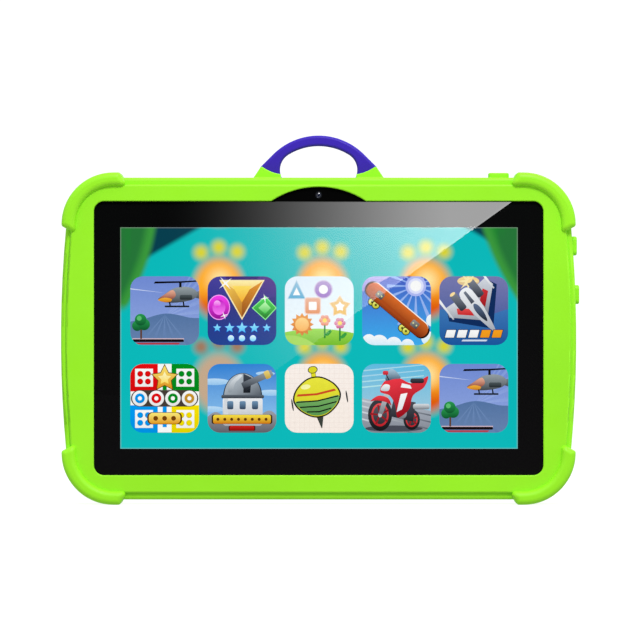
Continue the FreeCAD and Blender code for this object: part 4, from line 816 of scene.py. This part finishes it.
def slab(name, width, height, x, z, front, back, radius, edge, window, *materials, **settings):
    """Plate with round corners and softened front edges. Inside the window (middle x and z, width, height)
    its faces take the second and third material, front and back."""
    steps = 8
    rings = []
    for inset, y in ((edge, front), (edge * 0.3, front + edge * 0.3), (0.0, front + edge), (0.0, back)):
        outline = round_bar(x - width / 2 + inset, z - height / 2 + inset, x + width / 2 - inset,
                            z + height / 2 - inset, radius - inset, steps)
        rings.append([(u, y, v) for u, v in outline])
    vertices = [point for ring in rings for point in ring]
    count = len(rings[0])
    faces = walls(len(rings), count)
    indices = [0] * len(faces)
    window_x, window_z, half_w, half_h = window[0], window[1], window[2] / 2, window[3] / 2
    inner = [(window_x + half_w, window_z + half_h), (window_x - half_w, window_z + half_h),
             (window_x - half_w, window_z - half_h), (window_x + half_w, window_z - half_h)]
    for level, y, group in ((0, front, 1), (len(rings) - 1, back, 2)):
        first = len(vertices)
        vertices += [(u, y, v) for u, v in inner]
        per_corner = steps + 1
        for corner in range(4):
            after = (corner + 1) % 4
            arc = [level * count + corner * per_corner + index for index in range(per_corner)]
            start_of_next = level * count + after * per_corner
            faces.append([first + corner, *arc, start_of_next, first + after])
            indices.append(0)
        faces.append([first, first + 1, first + 2, first + 3])
        indices.append(group)
    piece = new_piece(name, vertices, faces, *materials, **settings)
    piece.data.polygons.foreach_set("material_index", indices)
    return piece


def build_display():
    (gx0, gx1), (gy0, _), (gz0, gz1) = corners("cover_glass")
    (px0, px1), (py0, py1), (pz0, pz1) = corners("lcd_panel")
    _, (_, sensor_back), _ = corners("touch_sensor")
    middle = ((px0 + px1) / 2, (pz0 + pz1) / 2)
    corner, softened = 4.0, 0.35
    glass = slab("glass_pane", gx1 - gx0, gz1 - gz0, (gx0 + gx1) / 2, (gz0 + gz1) / 2, gy0, sensor_back,
                 corner, softened,
                 (*PICTURE_MIDDLE, *PICTURE), black_print_with_painted_shade("Printed_Glass_Painted_Shade"), clear_pane("Clear_Glass"),
                 clear_back("Clear_Glass_Back"), slot="cover_glass")
    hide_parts("cover_glass", "touch_sensor")
    picture_depth, rim = 0.8, 0.7
    back_of_art = py0 + picture_depth
    panel = slab("display_panel", px1 - px0, pz1 - pz0, *middle, back_of_art, py1, 0.6, 0.1,
                 (*middle, px1 - px0 - 2 * rim, pz1 - pz0 - 2 * rim),
                 moulded("Panel_Edge", srgb(18, 19, 21), 0.35, 0.3, 0.002),
                 wallpaper("Wallpaper"), moulded("Panel_Back", srgb(70, 72, 76), 0.4, 0.3, 0.002),
                 slot="display")
    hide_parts("lcd_panel")
    paint = picture_paint("Lit_Picture")
    window = round_bar(0.0, 0.0, 1.0, 1.0, 0.18)
    for index, draw in enumerate(TILES):
        row, column = divmod(index, 5)
        left = PICTURE_MIDDLE[0] + 0.1 + TILE_PITCH[0] * (column - 2) - TILE / 2
        low = PICTURE_MIDDLE[1] + 10.6 - TILE_PITCH[1] * row - TILE / 2
        art = Picture(window, left, low, TILE, back_of_art - 0.01)
        draw(art.lay)
        art.finish(f"app_tile_{index + 1:02d}", paint)
    return glass


# ---------------------------------------------------------------- camera lenses and contacts

LENS_PROFILE = [(1.0, 0.0), (1.0, 0.9), (0.93, 1.0), (0.80, 1.0), (0.72, 0.72), (0.58, 0.72), (0.52, 0.86),
                (0.34, 0.97), (0.12, 1.0)]
LENS_BANDS = [0, 0, 0, 0, 0, 1, 1, 1]


def turned_piece(name, profile, centre, facing, bands, *materials, steps=40, **settings):
    """A round piece about an axis along Y: the profile is (radius, distance towards the viewer or away), and
    the bands say which material each of its steps takes."""
    vertices = []
    for radius, depth in profile:
        for index in range(steps):
            angle = 2 * math.pi * index / steps
            vertices.append((centre[0] + radius * math.cos(angle), centre[1] + facing * depth,
                             centre[2] + radius * math.sin(angle)))
    faces = walls(len(profile), steps)
    faces += [[level * steps + index for index in range(steps)] for level in (0, len(profile) - 1)]
    indices = [band for band in bands for _ in range(steps)] + [bands[0], bands[-1]]
    piece = new_piece(name, vertices, faces, *materials, smooth=True, **settings)
    piece.data.polygons.foreach_set("material_index", indices)
    return piece


def build_lenses():
    """Small domed lenses in place of the flat camera windows, each in its blackened stepped barrel."""
    rim = painted_metal("Lens_Rim", srgb(38, 40, 46), 0.35)
    for window, name, facing in (("front_camera_window", "front_lens", -1),
                                 ("rear_camera_window", "rear_lens", 1)):
        (x0, x1), (y0, y1), (z0, z1) = corners(window)
        radius = (x1 - x0) / 2
        depth = y1 - y0
        base = y1 if facing < 0 else y0
        profile = [(radius * across, depth * up) for across, up in LENS_PROFILE]
        # the lens colour carries a painted reflection of the coating's blue
        painted_coating_reflection = dark_glass(f"{name}_Painted_Coating_Reflection", srgb(14, 26, 66))
        lens = turned_piece(name, profile, ((x0 + x1) / 2, base, (z0 + z1) / 2), facing, LENS_BANDS, rim,
                            painted_coating_reflection, slot="lens")
        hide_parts(window)


def build_usb_contacts():
    """Gold contacts on both faces of the socket's tongue."""
    (x0, x1), (y0, y1), (z0, z1) = corners("usb_tongue")
    gold = painted_metal("Contact_Gold", srgb(236, 190, 92), 0.25)
    count = 12
    pitch = (z1 - z0 - 0.8) / count
    vertices, faces = [], []
    for index in range(count):
        z = z0 + 0.4 + pitch * (index + 0.5)
        for y_in, y_out in ((y0, y0 - 0.03), (y1, y1 + 0.03)):
            first = len(vertices)
            for y in (y_in, y_out):
                vertices += [(x, y, z + half) for x, half in
                             ((x1 - 2.6, -pitch * 0.3), (x1 - 0.3, -pitch * 0.3), (x1 - 0.3, pitch * 0.3),
                              (x1 - 2.6, pitch * 0.3))]
            faces += prism(first, 4)
    new_piece("usb_contacts", vertices, faces, gold, slot="steel")


# ---------------------------------------------------------------- finishes of the CAD nodes

def finish_nodes():
    green = silicone("Green_Silicone")
    purple = moulded("Purple_Handle", srgb(60, 38, 176), 0.42, 0.5, 0.005, 0.05, specular_ior_level=0.12)
    black = moulded("Black_Frame", srgb(2, 2, 2), 0.7, 0.5, 0.006, 0.1, specular_ior_level=0.02)
    grey = moulded("Grey_Keys", srgb(46, 47, 50), 0.45, 0.4, 0.004)
    white = moulded("White_Nylon", srgb(224, 222, 214), 0.5, 0.4, 0.004)
    steel = painted_metal("Pressed_Steel", srgb(196, 198, 200), 0.34, (1.0, 1.0, 0.08))
    ring = painted_metal("Camera_Ring", srgb(150, 152, 158), 0.28, (1.0, 0.1, 1.0))
    tape = two_tone("Black_Tape", srgb(14, 14, 15), srgb(34, 34, 36), (0.3, 5.0, 1.2), (0.75, 0.95), 0.03,
                    sheen_weight=0.2, sheen_roughness=0.5, sheen_tint=ALL_LIGHT)
    epoxy = two_tone("Chip_Epoxy", srgb(24, 24, 26), srgb(40, 40, 43), (0.25, 4.0), (0.5, 0.72), 0.01)
    foil = two_tone("Battery_Foil", srgb(148, 150, 154), srgb(196, 198, 202), (7.0, 5.0, 0.6), (0.24, 0.42),
                    0.12, metallic=0.85)
    film = polyimide("Flex_Film")
    # dark glass for the hidden lenses and windows, with the coating's blue as a painted reflection in its
    # colour
    glass = dark_glass("Lens_Glass", srgb(16, 22, 48))
    backlight = moulded("Backlight_Film", srgb(206, 210, 214), 0.35, 0.3, 0.002)
    finishes = {
        green: ["silicone_case", "power_pad", "volume_up_pad", "volume_down_pad"],
        purple: ["handle_stand", "stand_base"],
        black: ["front_frame", "rear_cover", "headphone_jack", "usb_tongue"],
        grey: ["power_key", "volume_up_key", "volume_down_key", "speaker"],
        white: ["power_plunger", "volume_up_plunger", "volume_down_plunger", "battery_plug"],
        steel: ["stand_pins", "lcd_frame", "board_screws", "shield_can", "usb_socket", "card_slot",
                "microphone",
                "power_switch", "volume_up_switch", "volume_down_switch", "cover_screws", "wifi_antenna"],
        ring: ["rear_camera_ring"],
        tape: ["glass_tape", "battery_tape", "speaker_gasket"],
        film: ["touch_flex", "lcd_flex", "camera_flex"],
        glass: ["front_camera", "rear_camera", "front_camera_window", "rear_camera_window", "cover_glass",
                "touch_sensor", "lcd_panel"],
        backlight: ["lcd_backlight"],
        circuit_board("Main_Board"): ["mainboard"],
        epoxy: ["processor_chip", "memory_chips"],
        foil: ["battery"],
        insulation("Lead_Sleeve"): ["battery_lead", "speaker_lead", "antenna_lead"],
    }
    painted = set()
    for material, names in finishes.items():
        for name in names:
            if name in NODES:
                slots = NODES[name].data.materials
                slots.clear()
                slots.append(material)
                painted.add(name)
    missing = sorted(set(NODES) - painted)
    if missing:
        raise ValueError(f"these nodes have no finish: {missing}")


# ---------------------------------------------------------------- stage, light and camera

CAMERA_DISTANCE = 1.377
EYE = (0.54, 71.6)


def build_camera():
    camera = placed("camera", bpy.data.cameras.new("camera"))
    camera.data.lens = 200.0
    camera.data.sensor_width = 36.0
    camera.data.clip_end = 20.0
    camera.location = (EYE[0] * MM, -0.007 - CAMERA_DISTANCE, EYE[1] * MM)
    camera.rotation_euler = Euler((math.pi / 2, 0.0, 0.0))
    bpy.context.scene.camera = camera


def build_floor():
    mesh = bpy.data.meshes.new("floor")
    reach, steps = 4.0, 48
    mesh.from_pydata([Vector((*point, 0.0)) for point in oval(0.0, 0.0, reach, steps=steps)], [],
                     [list(range(steps))])
    finish = Finish("Pale_Floor", roughness=0.9, specular_ior_level=0.0)
    finish.paint(finish.noise(60.0), srgb(136, 136, 136), srgb(142, 142, 142))
    finish.set(emission_color=ALL_LIGHT, emission_strength=0.86)
    mesh.materials.append(finish.material)
    floor = placed("floor", mesh)
    floor.visible_glossy = False
    floor.visible_diffuse = False


def build_world():
    """White to the camera. Light falls from all round, strongest from above, and the middle of the front is
    dark, as behind a black card round the camera, so that the glass stays black."""
    world = bpy.data.worlds.new("studio")
    world.use_nodes = True
    bpy.context.scene.world = world
    tree = world.node_tree
    nodes, link = tree.nodes, tree.links.new
    nodes.clear()
    direction = nodes.new("ShaderNodeTexCoord").outputs["Generated"]
    split = nodes.new("ShaderNodeSeparateXYZ")
    link(direction, split.inputs[0])

    def ramp(value, start, stop, low, high, kind="LINEAR"):
        node = nodes.new("ShaderNodeMapRange")
        node.interpolation_type = kind
        for title, number in (("From Min", start), ("From Max", stop), ("To Min", low), ("To Max", high)):
            node.inputs[title].default_value = number
        link(value, node.inputs["Value"])
        return node.outputs[0]

    height = ramp(split.outputs["Z"], -0.25, 0.95, 0.62, 0.9)
    hole = ramp(split.outputs["Y"], -0.97, -0.90, 0.02, 1.0, "SMOOTHSTEP")
    lit = nodes.new("ShaderNodeMath")
    lit.operation = "MULTIPLY"
    link(height, lit.inputs[0])
    link(hole, lit.inputs[1])
    surroundings, seen = nodes.new("ShaderNodeBackground"), nodes.new("ShaderNodeBackground")
    for node in (surroundings, seen):
        node.inputs["Color"].default_value = ALL_LIGHT
    link(lit.outputs[0], surroundings.inputs["Strength"])
    seen.inputs["Strength"].default_value = 1.1
    path, both = nodes.new("ShaderNodeLightPath"), nodes.new("ShaderNodeMixShader")
    link(path.outputs["Is Camera Ray"], both.inputs[0])
    link(surroundings.outputs[0], both.inputs[1])
    link(seen.outputs[0], both.inputs[2])
    link(both.outputs[0], nodes.new("ShaderNodeOutputWorld").inputs[0])


def build_light(name, place, aim, size, power):
    data = bpy.data.lights.new(name, "AREA")
    data.shape = "RECTANGLE"
    data.size, data.size_y = size
    data.energy = power
    light = placed(name, data)
    light.location = place
    light.rotation_euler = (Vector(aim) - Vector(place)).to_track_quat("-Z", "Y").to_euler()


def build_glare(glass):
    """White card beside the camera, seen only by the glass. Its edge cuts the shine off along a slant."""
    camera_x, camera_z = EYE
    card_y = -7.0 - CAMERA_DISTANCE / MM

    def mirrored(x, z):
        """Place on the card that the glass shows at (x, z)."""
        return 2 * x - camera_x, card_y, 2 * z - camera_z

    cut_top, slope = (79.5, 120.7), 0.714
    cut_foot_x, left, top = -30.0, -92.0, 124.0
    foot_z = cut_top[1] - (cut_top[0] - cut_foot_x) * slope
    outline = [mirrored(*cut_top), mirrored(cut_foot_x, foot_z), mirrored(left, foot_z), mirrored(left, top),
               mirrored(cut_top[0], top)]
    mesh = bpy.data.meshes.new("glare_card")
    mesh.from_pydata([Vector(point) * MM for point in outline], [], [list(range(len(outline)))])
    finish = Finish("Glare_Card")
    x, _, z = finish.axes()
    from_x, to_x = mirrored(-65.3, 0)[0], mirrored(50.9, 0)[0]
    run, eased = finish.span(x, from_x, to_x), finish.span(x, from_x, to_x, smooth=True)
    fall = finish.span(z, mirrored(0, 34.0)[2], mirrored(0, 106.0)[2])
    strength = finish.times(finish.times(run, eased), fall)
    over_cut = finish.minus(z, finish.times(x, slope))
    corner_x, _, corner_z = mirrored(*cut_top)
    cut_line, rim_width, rim_gain, brightest = corner_z - slope * corner_x, 2.2, 1.14, 0.36
    rim = finish.span(over_cut, cut_line, cut_line + rim_width, rim_gain, 1.0)
    strength = finish.times(strength, rim)
    peak = brightest / ((GLASS_IOR - 1) / (GLASS_IOR + 1)) ** 2
    emission = finish.add("ShaderNodeEmission", {"Strength": finish.times(strength, peak)})
    mesh.materials.append(finish.use_only(emission))
    card = placed("glare_card", mesh)
    for ray in ("camera", "diffuse", "shadow", "transmission"):
        setattr(card, f"visible_{ray}", False)
    receivers = bpy.data.collections.new("glare_receivers")
    receivers.objects.link(glass)
    card.light_linking.receiver_collection = receivers


def build_studio(glass):
    build_world()
    build_floor()
    build_glare(glass)
    build_light("key", (0.2, -0.8, 0.95), (0.0, 0.0, 0.07), (0.3, 0.3), 9.5)
    build_light("back", (0.5, 0.9, 0.9), (0.0, 0.0, 0.07), (0.8, 0.6), 3.0)
    scene = bpy.context.scene
    scene.view_settings.view_transform = "Standard"
    scene.view_settings.look = "None"


finish_nodes()
pane = build_display()
build_lenses()
build_usb_contacts()
build_camera()
build_studio(pane)
